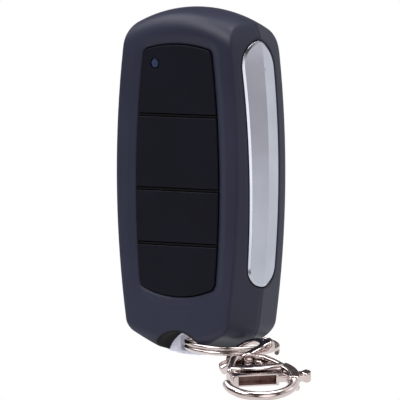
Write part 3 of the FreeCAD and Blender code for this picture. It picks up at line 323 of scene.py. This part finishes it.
nodeLooks = {
    "shell": ["front_shell", "rear_shell"],
    "key": ["key_1", "key_2", "key_3", "key_4"],
    "inner": ["key_frame", "switch_bodies", "controller_chip"],
    "seal": ["key_seal"],
    "plunger": ["switch_plunger_1", "switch_plunger_2", "switch_plunger_3", "switch_plunger_4"],
    "board": ["circuit_board"],
    "lamp": ["status_led"],
    "pipe": ["light_pipe"],
    "strip": ["side_trim_left", "side_trim_right"],
    "loop": ["key_loop"],
    "nickel": ["split_ring", "swivel_eye", "hook_body", "gate_lever", "gate_pin", "gate_spring"],
    "steel": ["coin_cell", "battery_clip", "battery_contact", "resonator", "case_screws"],
    "copper": ["antenna_loop"],
}
for finish, names in nodeLooks.items():
    for name in names:
        node = bpy.data.objects[name]
        node.data.materials.clear()
        node.data.materials.append(materials[finish])
print("materials on", sum(len(names) for names in nodeLooks.values()), "nodes")


# metal pieces that follow a path

capTurns = [17.5 * step for step in range(1, 6)]  # degrees round a rounded end
cornerPoints = 7  # points on each rounded corner of an outline


def tube(mesh, path, sections, power=2.6, count=24, rounding=0.0, closed=False, upward=(0.0, 1.0, 0.0)):
    # Sweeps a rounded section along a path; a section is half its width across the path and half its height.
    path = [Vector(point) for point in path]
    upward = Vector(upward)
    stations = []
    last = len(path) - 1
    for index, point in enumerate(path):
        before = path[index - 1] if index or closed else point
        after = path[(index + 1) % len(path)] if index < last or closed else point
        heading = (after - before).normalized()
        side = heading.cross(upward).normalized()
        section = sections[index] if isinstance(sections, list) else sections
        stations.append((point, heading, side, side.cross(heading), section, 1.0))
    if rounding:
        for place, way in ((0, -1.0), (-1, 1.0)):
            point, heading, side, up, section, scale = stations[place]
            for degrees in capTurns:
                turn = math.radians(degrees)
                tip = point + heading * way * rounding * math.sin(turn)
                station = (tip, heading, side, up, section, math.cos(turn))
                stations.insert(0 if way < 0 else len(stations), station)
    rings = []
    for point, heading, side, up, (across, high), scale in stations:
        ring = []
        for step in range(count):
            turn = 2 * math.pi * step / count
            c, s = math.cos(turn), math.sin(turn)
            a = math.copysign(abs(c) ** (2 / power), c) * across * scale
            b = math.copysign(abs(s) ** (2 / power), s) * high * scale
            ring.append(mesh.verts.new(point + side * a + up * b))
        rings.append(ring)
    pairs = list(zip(rings, rings[1:])) + ([(rings[-1], rings[0])] if closed else [])
    for first, second in pairs:
        for step in range(count):
            other = (step + 1) % count
            mesh.faces.new((first[step], first[other], second[other], second[step]))
    if not closed:
        mesh.faces.new(list(reversed(rings[0])))
        mesh.faces.new(rings[-1])


def slab(mesh, outline, low, high, rounding, segments=3, slot=0):
    # A flat piece between two heights, with the edges of its top and bottom rounded.
    bottom = [mesh.verts.new((x, low, d)) for x, d in outline]
    top = [mesh.verts.new((x, high, d)) for x, d in outline]
    faces = [mesh.faces.new(bottom), mesh.faces.new(list(reversed(top)))]
    count = len(outline)
    for index in range(count):
        other = (index + 1) % count
        faces.append(mesh.faces.new((bottom[other], bottom[index], top[index], top[other])))
    for face in faces:
        face.material_index = slot
    rims = list(dict.fromkeys(edge for face in faces[:2] for edge in face.edges))
    bmesh.ops.bevel(mesh, geom=rims, offset=rounding, segments=segments, profile=0.5, affect="EDGES",
                    clamp_overlap=True)


def box(left, right, near, far):
    # The corners (x, d) of an upright rectangle.
    return [(left, near), (right, near), (right, far), (left, far)]


def arc(centre, radius, start, end, steps):
    # Points (x, d) on a circle; the angle runs from across toward the ring's side.
    turns = [math.radians(start + (end - start) * step / steps) for step in range(steps + 1)]
    return [(centre[0] + radius * math.cos(turn), centre[1] - radius * math.sin(turn)) for turn in turns]


def fullTurn(steps):
    # Cosine and sine at even steps of one turn.
    turns = [2 * math.pi * step / steps for step in range(steps)]
    return [(math.cos(turn), math.sin(turn)) for turn in turns]


def rounded(corners, radius):
    # A polygon with its corners turned into small curves, which take up to 0.45 of each side.
    points = []
    for index, corner in enumerate(corners):
        here = Vector(corner)
        before, after = Vector(corners[index - 1]), Vector(corners[(index + 1) % len(corners)])
        start = here + (before - here).normalized() * min(radius, (before - here).length * 0.45)
        end = here + (after - here).normalized() * min(radius, (after - here).length * 0.45)
        for step in range(cornerPoints):
            t = step / (cornerPoints - 1)
            points.append(tuple(start * (1 - t) ** 2 + here * 2 * t * (1 - t) + end * t ** 2))
    return points


def flow(mesh, stations, steps=6, **settings):
    # A tube through a few places, each with x, height, distance, half width and half height, joined smoothly.
    places = [Vector(station) for station in stations]
    path, sections = [], []
    for index in range(len(places) - 1):
        before = places[max(index - 1, 0)]
        start, end = places[index], places[index + 1]
        after = places[min(index + 2, len(places) - 1)]
        for step in range(steps + (index == len(places) - 2)):
            t = step / steps
            spot = 0.5 * (2 * start + (end - before) * t + (2 * before - 5 * start + 4 * end - after) * t ** 2
                          + (3 * start - before - 3 * end + after) * t ** 3)
            path.append(spot[:3])
            sections.append((spot[3], spot[4]))
    tube(mesh, path, sections, **settings)


def level(points, height=0.0):
    # Puts flat (x, d) points at a height.
    return [(x, height, d) for x, d in points]


def finishPiece(name, mesh, place, finishes, body, replaced, smooth=38.0):
    # Moves a piece into the assembly in place of its CAD node; edges over smooth degrees stay sharp.
    bmesh.ops.recalc_face_normals(mesh, faces=mesh.faces)
    mesh.transform(place)
    data = bpy.data.meshes.new(name)
    mesh.to_mesh(data)
    mesh.free()
    for face in data.polygons:
        face.use_smooth = True
    data.set_sharp_from_angle(angle=math.radians(smooth))
    for finish in finishes:
        data.materials.append(materials[finish])
    piece = bpy.data.objects.new(name, data)
    bpy.context.scene.collection.objects.link(piece)
    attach(piece, body)
    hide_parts(replaced)


# side strips, made again with a bright bevelled rim and a crisp ridge

stripSizes = {
    "bevel": 0.5 * mm,
    "drop": 0.27 * mm,
    "wall": 1.2 * mm,
    "ridgeY": -7.35 * mm,
    "capRoom": 3.0 * mm,  # the ridge ends this far before the strip's ends
    "step": 1.2 * mm,
    "inset": 0.03 * mm,
    "rowShares": (0.35, 0.7),  # places of the two middle loops between the bevel and the ridge
    "rayStart": 50 * mm,
    "facing": 0.9,  # least cosine to the side for a face that shows
    "smooth": 12.0,
}


def rimOf(mesh, side):
    # The ordered outer edge of the strip's shown faces, with long stretches divided.
    shown = {face for face in mesh.faces if face.normal.x * side > stripSizes["facing"]}
    near = {}
    for edge in mesh.edges:
        if sum(face in shown for face in edge.link_faces) == 1:
            for corner in edge.verts:
                near.setdefault(corner, []).append(edge.other_vert(corner))
    first = next(iter(near))
    order, last, here = [first], None, first
    while True:
        onward = [corner for corner in near[here] if corner is not last]
        last, here = here, onward[0]
        if here is first:
            break
        order.append(here)
    points = []
    for index, corner in enumerate(order):
        start, end = corner.co, order[(index + 1) % len(order)].co
        parts = max(1, math.ceil((end - start).length / stripSizes["step"]))
        points += [start.lerp(end, part / parts) for part in range(parts)]
    return points


def makeStrip(node, name, side):
    # Six loops from the hidden wall over the bevel to the ridge, each laid on the solid strip.
    sizes = stripSizes
    solid = bmesh.new()
    solid.from_mesh(bpy.data.objects[node].data)
    bmesh.ops.remove_doubles(solid, verts=solid.verts, dist=0.001 * mm)
    solid.normal_update()
    surface = BVHTree.FromBMesh(solid)
    rim = rimOf(solid, side)
    low = min(point.z for point in rim) + sizes["capRoom"]
    high = max(point.z for point in rim) - sizes["capRoom"]

    def lift(y, z):
        hit = surface.ray_cast(Vector((side * sizes["rayStart"], y, z)), Vector((-side, 0.0, 0.0)))[0]
        return Vector((hit.x, y, z))

    rows = [[], [], [], [], [], []]
    for point in rim:
        ridge = Vector((sizes["ridgeY"], min(max(point.z, low), high)))
        edge = Vector((point.y, point.z))
        inward = (ridge - edge).normalized()
        top = lift(*(edge + inward * sizes["inset"]))
        rows[0].append(Vector((top.x - side * (sizes["drop"] + sizes["wall"]), *edge)))
        rows[1].append(Vector((top.x - side * sizes["drop"], *edge)))
        inner = edge + inward * sizes["bevel"]
        rows[2].append(lift(*inner))
        for row, share in zip(rows[3:5], sizes["rowShares"]):
            row.append(lift(*inner.lerp(ridge, share)))
        rows[5].append(lift(*ridge))
    solid.free()
    mesh = bmesh.new()
    loops = [[mesh.verts.new(point) for point in row] for row in rows]
    count = len(rim)
    for outer, inner in zip(loops, loops[1:]):
        for index in range(count):
            other = (index + 1) % count
            mesh.faces.new((outer[index], outer[other], inner[other], inner[index]))
    mesh.faces.new(loops[0])
    bmesh.ops.remove_doubles(mesh, verts=mesh.verts, dist=0.01 * mm)
    finishPiece(name, mesh, Matrix.Identity(4), ["strip"], "housing", node, sizes["smooth"])


makeStrip("side_trim_left", "stripLeft", -1)
makeStrip("side_trim_right", "stripRight", 1)
print("strips made")


# clasp: its pieces are drawn in millimetres, with x across, a height, and d as the distance from the ring

claspPlace = {
    "swivel": Vector((17.766, -13.684, -37.0615)),
    "across": Vector((0.71428, 0.69867, 0.04083)),
    "upward": Vector((0.2132, -0.27278, 0.93816)),
    "away": Vector((0.6666, -0.6614, -0.3438)),
}


def claspFrame(twist=0.0):
    # From the clasp's own millimetres to the assembly, turned about the swivel.
    turn = Matrix((claspPlace["across"], claspPlace["upward"], claspPlace["away"])).transposed().to_4x4()
    origin = Matrix.Translation(claspPlace["swivel"] * mm)
    return origin @ turn @ Matrix.Rotation(math.radians(twist), 4, "Z") @ Matrix.Scale(mm, 4)


eyeSizes = {
    "bowRadius": 4.08,
    "bowMiddle": -1.75,
    "bowKnee": -0.6,
    "bowFoot": 0.5,
    "bow": (0.58, 0.56),
    "barReach": 5.95,
    "earStart": 4.6,
    "neckReach": 2.6,
    "bar": (1.42, 1.04),
    "neck": (1.05, 0.66),
    "barRounding": 0.65,
    "postRadius": 0.8,
    "post": (0.6, 3.1),
    "headRadius": 1.08,
    "head": ((2.99, 0.9), (3.1, 1.0), (3.6, 1.0), (3.72, 0.85)),  # distance and share of the head's radius
    "twist": 26.9,
}


def makeEye():
    # Bow, cross bar with stubby ears, and the post that the hook turns on.
    sizes = eyeSizes
    mesh = bmesh.new()
    radius, knee, foot = sizes["bowRadius"], sizes["bowKnee"], sizes["bowFoot"]
    bow = [(-radius, foot), (-radius, knee)] + arc((0.0, sizes["bowMiddle"]), radius, 180.0, 0.0, 28)
    bow += [(radius, knee), (radius, foot)]
    tube(mesh, level(bow), sizes["bow"], power=3.2)
    reach, ear, neck = sizes["barReach"], sizes["earStart"], sizes["neckReach"]
    bar = [(-reach, sizes["bar"]), (-ear, sizes["bar"]), (-neck, sizes["neck"]), (neck, sizes["neck"]),
           (ear, sizes["bar"]), (reach, sizes["bar"])]
    flow(mesh, [(x, 0, 0, *section) for x, section in bar], power=5.0, rounding=sizes["barRounding"])
    post = sizes["postRadius"]
    tube(mesh, [(0, 0, d) for d in sizes["post"]], (post, post), power=2.0)
    radii = [sizes["headRadius"] * share for d, share in sizes["head"]]
    tube(mesh, [(0, 0, d) for d, share in sizes["head"]], [(head, head) for head in radii], power=2.0)
    finishPiece("swivelEye", mesh, claspFrame(sizes["twist"]), ["nickel"], "eye", "swivel_eye")


hookSizes = {
    "middle": (1.3, 13.2),
    "radius": 7.3,
    "wire": 1.0,
    "tip": -176.0,
    "rim": 1.5,
    "rimWidth": 0.86,
    "floor": (-1.46, -0.5),
    "floorOutline": [(-2.9, 2.4), (-1.45, 2.4), (-1.45, 4.0), (1.45, 4.0), (1.45, 2.4), (3.1, 2.4),
                     (4.3, 3.9), (7.4, 8.6), (6.9, 9.3), (-4.6, 9.2), (-4.5, 8.2)],
    "floorCorner": 0.5,
    "floorEdge": 0.25,
    "back": (-2.2, 2.2, 2.5, 4.4),
    "backTop": -1.27,
    "backEdge": 0.08,
    "collarRadius": 1.42,
    "collarPlace": 2.24,
    "collar": (0.46, 0.58),
    "web": 0.98,
    "lip": 0.4,
    "cheekLow": 0.8,
    "cheekTop": 1.74,
    "cheekWidth": 1.12,
    "cheekAngles": range(-14, 41, 3),
    "eyeletMiddle": (-0.4, 0.28, 5.6),
    "eyeletRadius": 0.65,
    "eyelet": (0.2, 0.8),
    "stud": (1.8, 5.6),
    "studHeights": (-0.7, 1.15),
    "studRadius": 0.35,
}


def onHook(angle):
    # A point (x, d) on the middle line of the round hook.
    turn = math.radians(angle)
    middle, radius = hookSizes["middle"], hookSizes["radius"]
    return middle[0] + radius * math.cos(turn), middle[1] - radius * math.sin(turn)


def hookPocket(mesh):
    # The pocket's floor, notched for the head of the swivel post, and the thin wall behind the notch.
    sizes = hookSizes
    low, high = sizes["floor"]
    # the floor and the wall take slot 1, the darker painted-shade copy of the nickel
    slab(mesh, rounded(sizes["floorOutline"], sizes["floorCorner"]), low, high, sizes["floorEdge"], slot=1)
    slab(mesh, box(*sizes["back"]), low, sizes["backTop"], sizes["backEdge"], slot=1)


def hookRims(mesh):
    # Raised rims left and right of the pocket; the right one runs into the round hook.
    rim, width = hookSizes["rim"], hookSizes["rimWidth"]
    flow(mesh, [(-2.0, 0, 2.35, 0.6, 1.3), (-3.1, 0, 2.9, width, 1.42), (-3.75, 0, 5.0, width, rim),
                (-4.35, 0, 7.4, width, rim), (-4.75, 0, 8.7, 0.78, rim), (-4.9, 0, 9.35, 0.7, 1.35)],
         power=2.8, rounding=0.35)
    joinX, joinD = onHook(36.0)
    endX, endD = onHook(31.5)
    flow(mesh, [(2.0, 0, 2.35, 0.6, 1.3), (3.35, 0, 2.9, width, 1.42), (4.6, 0, 4.6, width, rim),
                (6.2, 0, 7.0, 0.74, rim + 0.04), (joinX - 0.05, 0, joinD, 0.95, rim + 0.14),
                (endX, 0, endD, 1.02, 1.68)], power=2.8)


def hookCollar(mesh):
    # The ring that the swivel post turns in, and the shoulders that carry it.
    sizes = hookSizes
    radius, d = sizes["collarRadius"], sizes["collarPlace"]
    collar = [(radius * c, radius * s, d) for c, s in fullTurn(28)]
    tube(mesh, collar, sizes["collar"], power=3.0, count=16, closed=True, upward=(0.0, 0.0, 1.0))
    for side in (-1, 1):
        flow(mesh, [(side * 1.75, 0, 2.3, 0.52, 0.9), (side * 2.6, 0, 2.4, 0.55, 1.2),
                    (side * 3.2, 0, 2.9, 0.6, 1.35)], power=2.8)


def hookWeb(mesh):
    # The bar across the pocket's end, and the crescent lip on it over the gate.
    rim, web, lip = hookSizes["rim"], hookSizes["web"], hookSizes["lip"]
    flow(mesh, [(-4.5, 0, 8.55, 0.8, rim), (-2.5, 0, 8.75, web, rim + 0.04), (1.4, 0, 8.85, web, rim + 0.06),
                (5.0, 0, 8.7, web, rim + 0.04), (7.2, 0, 8.4, 0.85, rim)], power=3.0)
    flow(mesh, [(-4.3, 1.2, 8.7, 0.7, 0.5), (-2.4, 1.72, 9.5, 1.05, lip), (0.9, 1.88, 10.05, 1.2, lip),
                (4.3, 1.82, 9.5, 1.0, lip), (6.7, 1.4, 8.3, 0.6, 0.45)], power=2.3, rounding=0.4)


def hookFork(mesh):
    # Two cheeks that hold the gate's pin.
    sizes = hookSizes
    thick = (sizes["cheekTop"] - sizes["cheekLow"]) / 2
    for side in (-1, 1):
        cheek = [onHook(angle) for angle in sizes["cheekAngles"]]
        tube(mesh, level(cheek, side * (sizes["cheekTop"] - thick)), (sizes["cheekWidth"], thick), power=3.4,
             rounding=0.3)


def hookRound(mesh):
    # The round hook: thick where it leaves the fork, then plain wire to the tip.
    wire = hookSizes["wire"]
    stations = [(-8.5, 1.1, 1.66), (-15, 1.1, 1.5), (-26, 1.04, 1.12), (-40, wire, wire)]
    stations += [(angle, wire, wire) for angle in range(-52, -170, -12)]
    stations.append((hookSizes["tip"] + 1.0, wire, wire * 1.06))
    places = []
    for angle, across, high in stations:
        x, d = onHook(angle)
        places.append((x, 0, d, across, high))
    flow(mesh, places, steps=5, power=2.0, rounding=0.8)


def hookEyelet(mesh):
    # The small ring and the stud in the pocket.
    sizes = hookSizes
    x, height, d = sizes["eyeletMiddle"]
    radius = sizes["eyeletRadius"]
    ring = [(x + radius * c, height, d + radius * s) for c, s in fullTurn(28)]
    tube(mesh, ring, sizes["eyelet"], power=3.4, count=16, closed=True)
    x, d = sizes["stud"]
    stud = [(x, height, d) for height in sizes["studHeights"]]
    radius = sizes["studRadius"]
    tube(mesh, stud, (radius, radius), power=2.0, count=20, rounding=0.2, upward=(0.0, 0.0, 1.0))


def makeHook():
    # The cast hook, part by part in one mesh.
    mesh = bmesh.new()
    for part in (hookPocket, hookRims, hookCollar, hookWeb, hookFork, hookRound, hookEyelet):
        part(mesh)
    finishPiece("snapHook", mesh, claspFrame(), ["nickel", "recess"], "hook", "hook_body")


gateSizes = {
    "left": -4.7,
    "right": 5.5,
    "back": 10.27,
    "front": 12.5,
    "half": 1.38,
    "wall": 0.32,
    "corner": 0.25,
    "webThickness": 0.62,
    "webRoom": 0.02,
    "webEdge": 0.12,
    "wallEdge": 0.14,
    "noseWidth": 1.2,
    "noseFront": 12.88,
    "noseCorner": 0.3,
    "noseEdge": 0.24,
    "endStart": 4.8,
    "endEdge": 0.2,
    "pivot": 11.56,
    "tabHalf": 1.18,
    "tabEnd": 12.4,
    "tab": 0.69,
    "tabCorner": 0.95,  # share of the tab's half width
    "tabEdge": 0.2,
    "thumb": 1.05,
    "thumbStart": 10.5,
    "thumbCorner": 0.85,
    "thumbEdge": 0.34,
}


def makeGate():
    # Folded channel that closes the mouth, with a solid end that meets the hook's tip, and the thumb tab.
    sizes = gateSizes
    mesh = bmesh.new()
    left, right, back, front = sizes["left"], sizes["right"], sizes["back"], sizes["front"]
    half, wall = sizes["half"], sizes["wall"]
    inner, end = sizes["left"] + sizes["noseWidth"], sizes["endStart"]
    web = half - sizes["webRoom"]
    # the web takes slot 1, the darker painted-shade copy of the nickel
    slab(mesh, box(inner, right, back, back + sizes["webThickness"]), -web, web, sizes["webEdge"], slot=1)
    for low, high in ((half - wall, half), (-half, wall - half)):
        slab(mesh, rounded(box(inner, right, back, front), sizes["corner"]), low, high, sizes["wallEdge"])
    tip = sizes["noseFront"]
    nose = [(left, back), (-3.2, back), (-3.2, front - 0.1), (-3.4, tip), (left, tip)]
    slab(mesh, rounded(nose, sizes["noseCorner"]), -half, half, sizes["noseEdge"])
    slab(mesh, rounded(box(end, right, back, front), sizes["corner"]), -half, half, sizes["endEdge"])
    near, far, tabEnd = sizes["pivot"] - sizes["tabHalf"], sizes["pivot"] + sizes["tabHalf"], sizes["tabEnd"]
    tab = rounded(box(end, tabEnd - 0.1, near, far), sizes["tabHalf"] * sizes["tabCorner"])
    farCorners = tab[cornerPoints:3 * cornerPoints]
    slab(mesh, farCorners + [(end, far), (end, near)], -sizes["tab"], sizes["tab"], sizes["tabEdge"])
    thumb = rounded(box(sizes["thumbStart"], tabEnd, near, far), sizes["thumbCorner"])
    slab(mesh, thumb, -sizes["thumb"], sizes["thumb"], sizes["thumbEdge"], 4)
    finishPiece("gateLever", mesh, claspFrame(), ["nickel", "recess"], "gate", "gate_lever")


makeEye()
makeHook()
makeGate()
print("clasp made")


# split ring: almost two turns of round wire that lie on each other

ringSizes = {"Radius": 10.0 * mm, "Rise": 1.02 * mm, "Turns": 1.92, "Wire": 0.5 * mm}
ringDetail = {"steps": 110, "sides": 24, "smooth": 60.0}
ringPlace = {
    "start": Vector((-2.06, -7.85, -35.0)) * mm,
    "out": Vector((0.9793, 0.1903, -0.0698)),
    "across": Vector((0.18558, -0.98017, -0.06942)),
    "turned": -14.4,
}


def windingTree(material):
    # The wire's end drops from Rise above the ring's middle plane to Rise below it.
    tree = bpy.data.node_groups.new("splitRing", "GeometryNodeTree")
    tree.interface.new_socket("Geometry", in_out="OUTPUT", socket_type="NodeSocketGeometry")
    for name in ringSizes:
        tree.interface.new_socket(name, in_out="INPUT", socket_type="NodeSocketFloat")
    nodes, links = tree.nodes, tree.links
    inside, outside = nodes.new("NodeGroupInput"), nodes.new("NodeGroupOutput")
    spiral = nodes.new("GeometryNodeCurveSpiral")
    spiral.inputs["Resolution"].default_value = ringDetail["steps"]
    spiral.inputs["Height"].default_value = 0.0
    links.new(inside.outputs["Turns"], spiral.inputs["Rotations"])
    links.new(inside.outputs["Radius"], spiral.inputs["Start Radius"])
    links.new(inside.outputs["Radius"], spiral.inputs["End Radius"])
    along = nodes.new("GeometryNodeSplineParameter")
    below = nodes.new("ShaderNodeMath")
    below.operation = "MULTIPLY"
    below.inputs[1].default_value = -1.0
    links.new(inside.outputs["Rise"], below.inputs[0])
    step = nodes.new("ShaderNodeMapRange")
    links.new(along.outputs["Factor"], step.inputs["Value"])
    links.new(inside.outputs["Rise"], step.inputs["To Min"])
    links.new(below.outputs[0], step.inputs["To Max"])
    lift = nodes.new("ShaderNodeCombineXYZ")
    links.new(step.outputs["Result"], lift.inputs["Z"])
    moved = nodes.new("GeometryNodeSetPosition")
    links.new(spiral.outputs["Curve"], moved.inputs["Geometry"])
    links.new(lift.outputs[0], moved.inputs["Offset"])
    section = nodes.new("GeometryNodeCurvePrimitiveCircle")
    section.inputs["Resolution"].default_value = ringDetail["sides"]
    links.new(inside.outputs["Wire"], section.inputs["Radius"])
    skin = nodes.new("GeometryNodeCurveToMesh")
    skin.inputs["Fill Caps"].default_value = True
    links.new(moved.outputs["Geometry"], skin.inputs["Curve"])
    links.new(section.outputs["Curve"], skin.inputs["Profile Curve"])
    real = nodes.new("GeometryNodeRealizeInstances")
    coat = nodes.new("GeometryNodeSetMaterial")
    coat.inputs["Material"].default_value = material
    links.new(skin.outputs["Mesh"], real.inputs["Geometry"])
    links.new(real.outputs["Geometry"], coat.inputs["Geometry"])
    links.new(coat.outputs["Geometry"], outside.inputs["Geometry"])
    return tree


def grown(name, tree, sizes):
    # Runs a tree with its sizes and gives back the plain mesh, its doubles merged.
    holder = bpy.data.objects.new(name, bpy.data.meshes.new(name))
    bpy.context.scene.collection.objects.link(holder)
    modifier = holder.modifiers.new("grow", "NODES")
    modifier.node_group = tree
    for item in tree.interface.items_tree:
        if item.item_type == "SOCKET" and item.in_out == "INPUT":
            modifier[item.identifier] = sizes[item.name]
    graph = bpy.context.evaluated_depsgraph_get()
    data = bpy.data.meshes.new_from_object(holder.evaluated_get(graph), depsgraph=graph)
    holder.modifiers.remove(modifier)
    bpy.data.objects.remove(holder)
    work = bmesh.new()
    work.from_mesh(data)
    bmesh.ops.remove_doubles(work, verts=work.verts, dist=0.001 * mm)
    return work


def makeRing():
    # Starts where the wire passes through the key loop, and lies in the plane of out and across.
    out = ringPlace["out"].normalized()
    axis = -(ringPlace["out"].cross(ringPlace["across"])).normalized()
    across = axis.cross(out)
    centre = ringPlace["start"] + out * ringSizes["Radius"]
    turn = Matrix((out, across, axis)).transposed().to_4x4()
    place = Matrix.Translation(centre) @ turn @ Matrix.Rotation(math.radians(ringPlace["turned"]), 4, "Z")
    mesh = grown("splitRingBase", windingTree(materials["nickel"]), ringSizes)
    finishPiece("splitRing", mesh, place, ["nickel"], "ring", "split_ring", ringDetail["smooth"])


makeRing()
print("split ring made")


# studio: each patch of the world has its direction, its half angle and soft edge in degrees, and its colour

studioBase = (0.1, 0.082, 0.079)
studioPatches = [
    {"toward": (-0.3, 0.6, -0.74), "angle": 58.0, "soft": 12.0, "colour": (0.8, 0.79, 0.8)},
    {"toward": (0.5, 0.85, -0.12), "angle": 46.0, "soft": 10.0, "colour": (1.0, 0.99, 1.0)},
    {"toward": (0.2, 0.2, 1.0), "angle": 26.0, "soft": 8.0, "colour": (1.15, 1.14, 1.15)},
    {"toward": (0.893, 0.361, 0.27), "angle": 18.5, "soft": 2.5, "colour": (0.62, 0.59, 0.6)},
    {"toward": (0.84, -0.54, 0.06), "angle": 22.0, "soft": 7.0, "colour": (1.8, 1.78, 1.82)},
    {"toward": (-0.6, -0.14, 0.77), "angle": 16.0, "soft": 8.0, "colour": (4.4, 4.4, 4.5)},
    {"toward": (0.9, -0.6, 0.62), "angle": 10.0, "soft": 4.0, "colour": (1.2, 1.14, 1.12)},
    {"toward": (-1.0, 0.1, 0.1), "angle": 20.0, "soft": 10.0, "colour": (0.6, 0.6, 0.64)},
    {"toward": (0.05, -1.0, 0.05), "angle": 16.0, "soft": 8.0, "colour": (0.75, 0.73, 0.75)},
]
lamps = {
    "over": {"place": Vector((0.1, 0.0, 0.75)), "size": 0.4, "power": 3.2},
    "frontLeft": {"place": Vector((-0.22, -0.62, 0.62)), "size": 0.45, "power": 5.0},
    "rightRear": {"place": Vector((0.6, 0.42, 0.35)), "size": 0.4, "power": 0.45},
}
lampAim = Vector((0.0, -0.008, -0.005))
floorSizes = {
    "room": 0.034,  # the ring and hook can hang down this far before they reach the floor
    "front": 0.11,
    "back": -3.5,
    "side": 2.5,
    "pale": (0.93, 0.95),
    "plain": (0.8, 1.0),  # share of plain white near the object and far from it
    "fade": (0.07, 0.32),  # distances between which that share grows
}
white = (1.0, 1.0, 1.0)


def makeWorld():
    # White behind the object for the camera; the studio for everything that lights it or shows in metal.
    world = bpy.data.worlds.new("studio")
    bpy.context.scene.world = world
    world.use_nodes = True
    sheet = Sheet(world.node_tree, "Generated")
    colour = studioBase
    for patch in studioPatches:
        toward = tuple(Vector(patch["toward"]).normalized())
        facing = sheet.node("ShaderNodeVectorMath", {0: sheet.position, 1: toward}, operation="DOT_PRODUCT")
        edges = [math.cos(math.radians(patch["angle"] + side * patch["soft"])) for side in (1, -1)]
        share = sheet.ranged(facing.outputs["Value"], 0.0, 1.0, *edges, "SMOOTHSTEP")
        colour = sheet.mix(share, colour, patch["colour"])
    seen = sheet.node("ShaderNodeLightPath").outputs["Is Camera Ray"]
    backdrop = sheet.node("ShaderNodeBackground", {"Color": white})
    soft = sheet.node("ShaderNodeBackground", {"Color": colour})
    blend = sheet.node("ShaderNodeMixShader", {0: seen, 1: soft.outputs[0], 2: backdrop.outputs[0]})
    sheet.node("ShaderNodeOutputWorld", {"Surface": blend.outputs[0]})


def makeFloor():
    # A pale table top: partly plain white to the camera and in metal, the rest left to hold the shadow.
    sizes = floorSizes
    low = cadBox[0][2] - sizes["room"]
    mesh = bpy.data.meshes.new("floor")
    forward = Vector((cameraFit["toCamera"].x, cameraFit["toCamera"].y, 0.0)).normalized()
    aside = Vector((-forward.y, forward.x, 0.0))
    corners = [forward * sizes[end] + aside * sizes["side"] * way + Vector((0.0, 0.0, low))
               for end, way in (("front", -1), ("front", 1), ("back", 1), ("back", -1))]
    mesh.from_pydata(corners, [], [(0, 1, 2, 3)])
    floor = bpy.data.objects.new("floor", mesh)
    bpy.context.scene.collection.objects.link(floor)
    sheet = Surface("floor", Roughness=0.9)
    pale = sheet.ranged(sheet.noise(40.0), *sizes["pale"])
    tint = sheet.node("ShaderNodeCombineColor", {0: pale, 1: pale, 2: pale})
    sheet.give(Base_Color=tint.outputs[0])
    glow = sheet.node("ShaderNodeEmission", {"Color": white, "Strength": 1.0})
    ray = sheet.node("ShaderNodeLightPath")
    shown = Amount(sheet, ray.outputs["Is Camera Ray"]).maths("MAXIMUM", ray.outputs["Is Glossy Ray"])
    shown = shown.maths("MAXIMUM", ray.outputs["Is Transmission Ray"])
    plain = sheet.ranged(sheet.length(sheet.position), *sizes["plain"], *sizes["fade"], "SMOOTHSTEP")
    lit = sheet.shader.outputs[0]
    both = sheet.node("ShaderNodeMixShader", {0: shown * plain, 1: lit, 2: glow.outputs[0]})
    sheet.feed(sheet.end.inputs["Surface"], both.outputs[0])
    mesh.materials.append(sheet.material)


def makeLamp(name, place, size, power):
    # A square area lamp that shines on the middle of the object.
    data = bpy.data.lights.new(name, "AREA")
    data.shape = "SQUARE"
    data.size = size
    data.energy = power
    lamp = bpy.data.objects.new(name, data)
    bpy.context.scene.collection.objects.link(lamp)
    lamp.location = place
    lamp.rotation_euler = (place - lampAim).to_track_quat("Z", "Y").to_euler()


makeWorld()
makeFloor()
for name, settings in lamps.items():
    makeLamp(name, **settings)
print("studio lit")
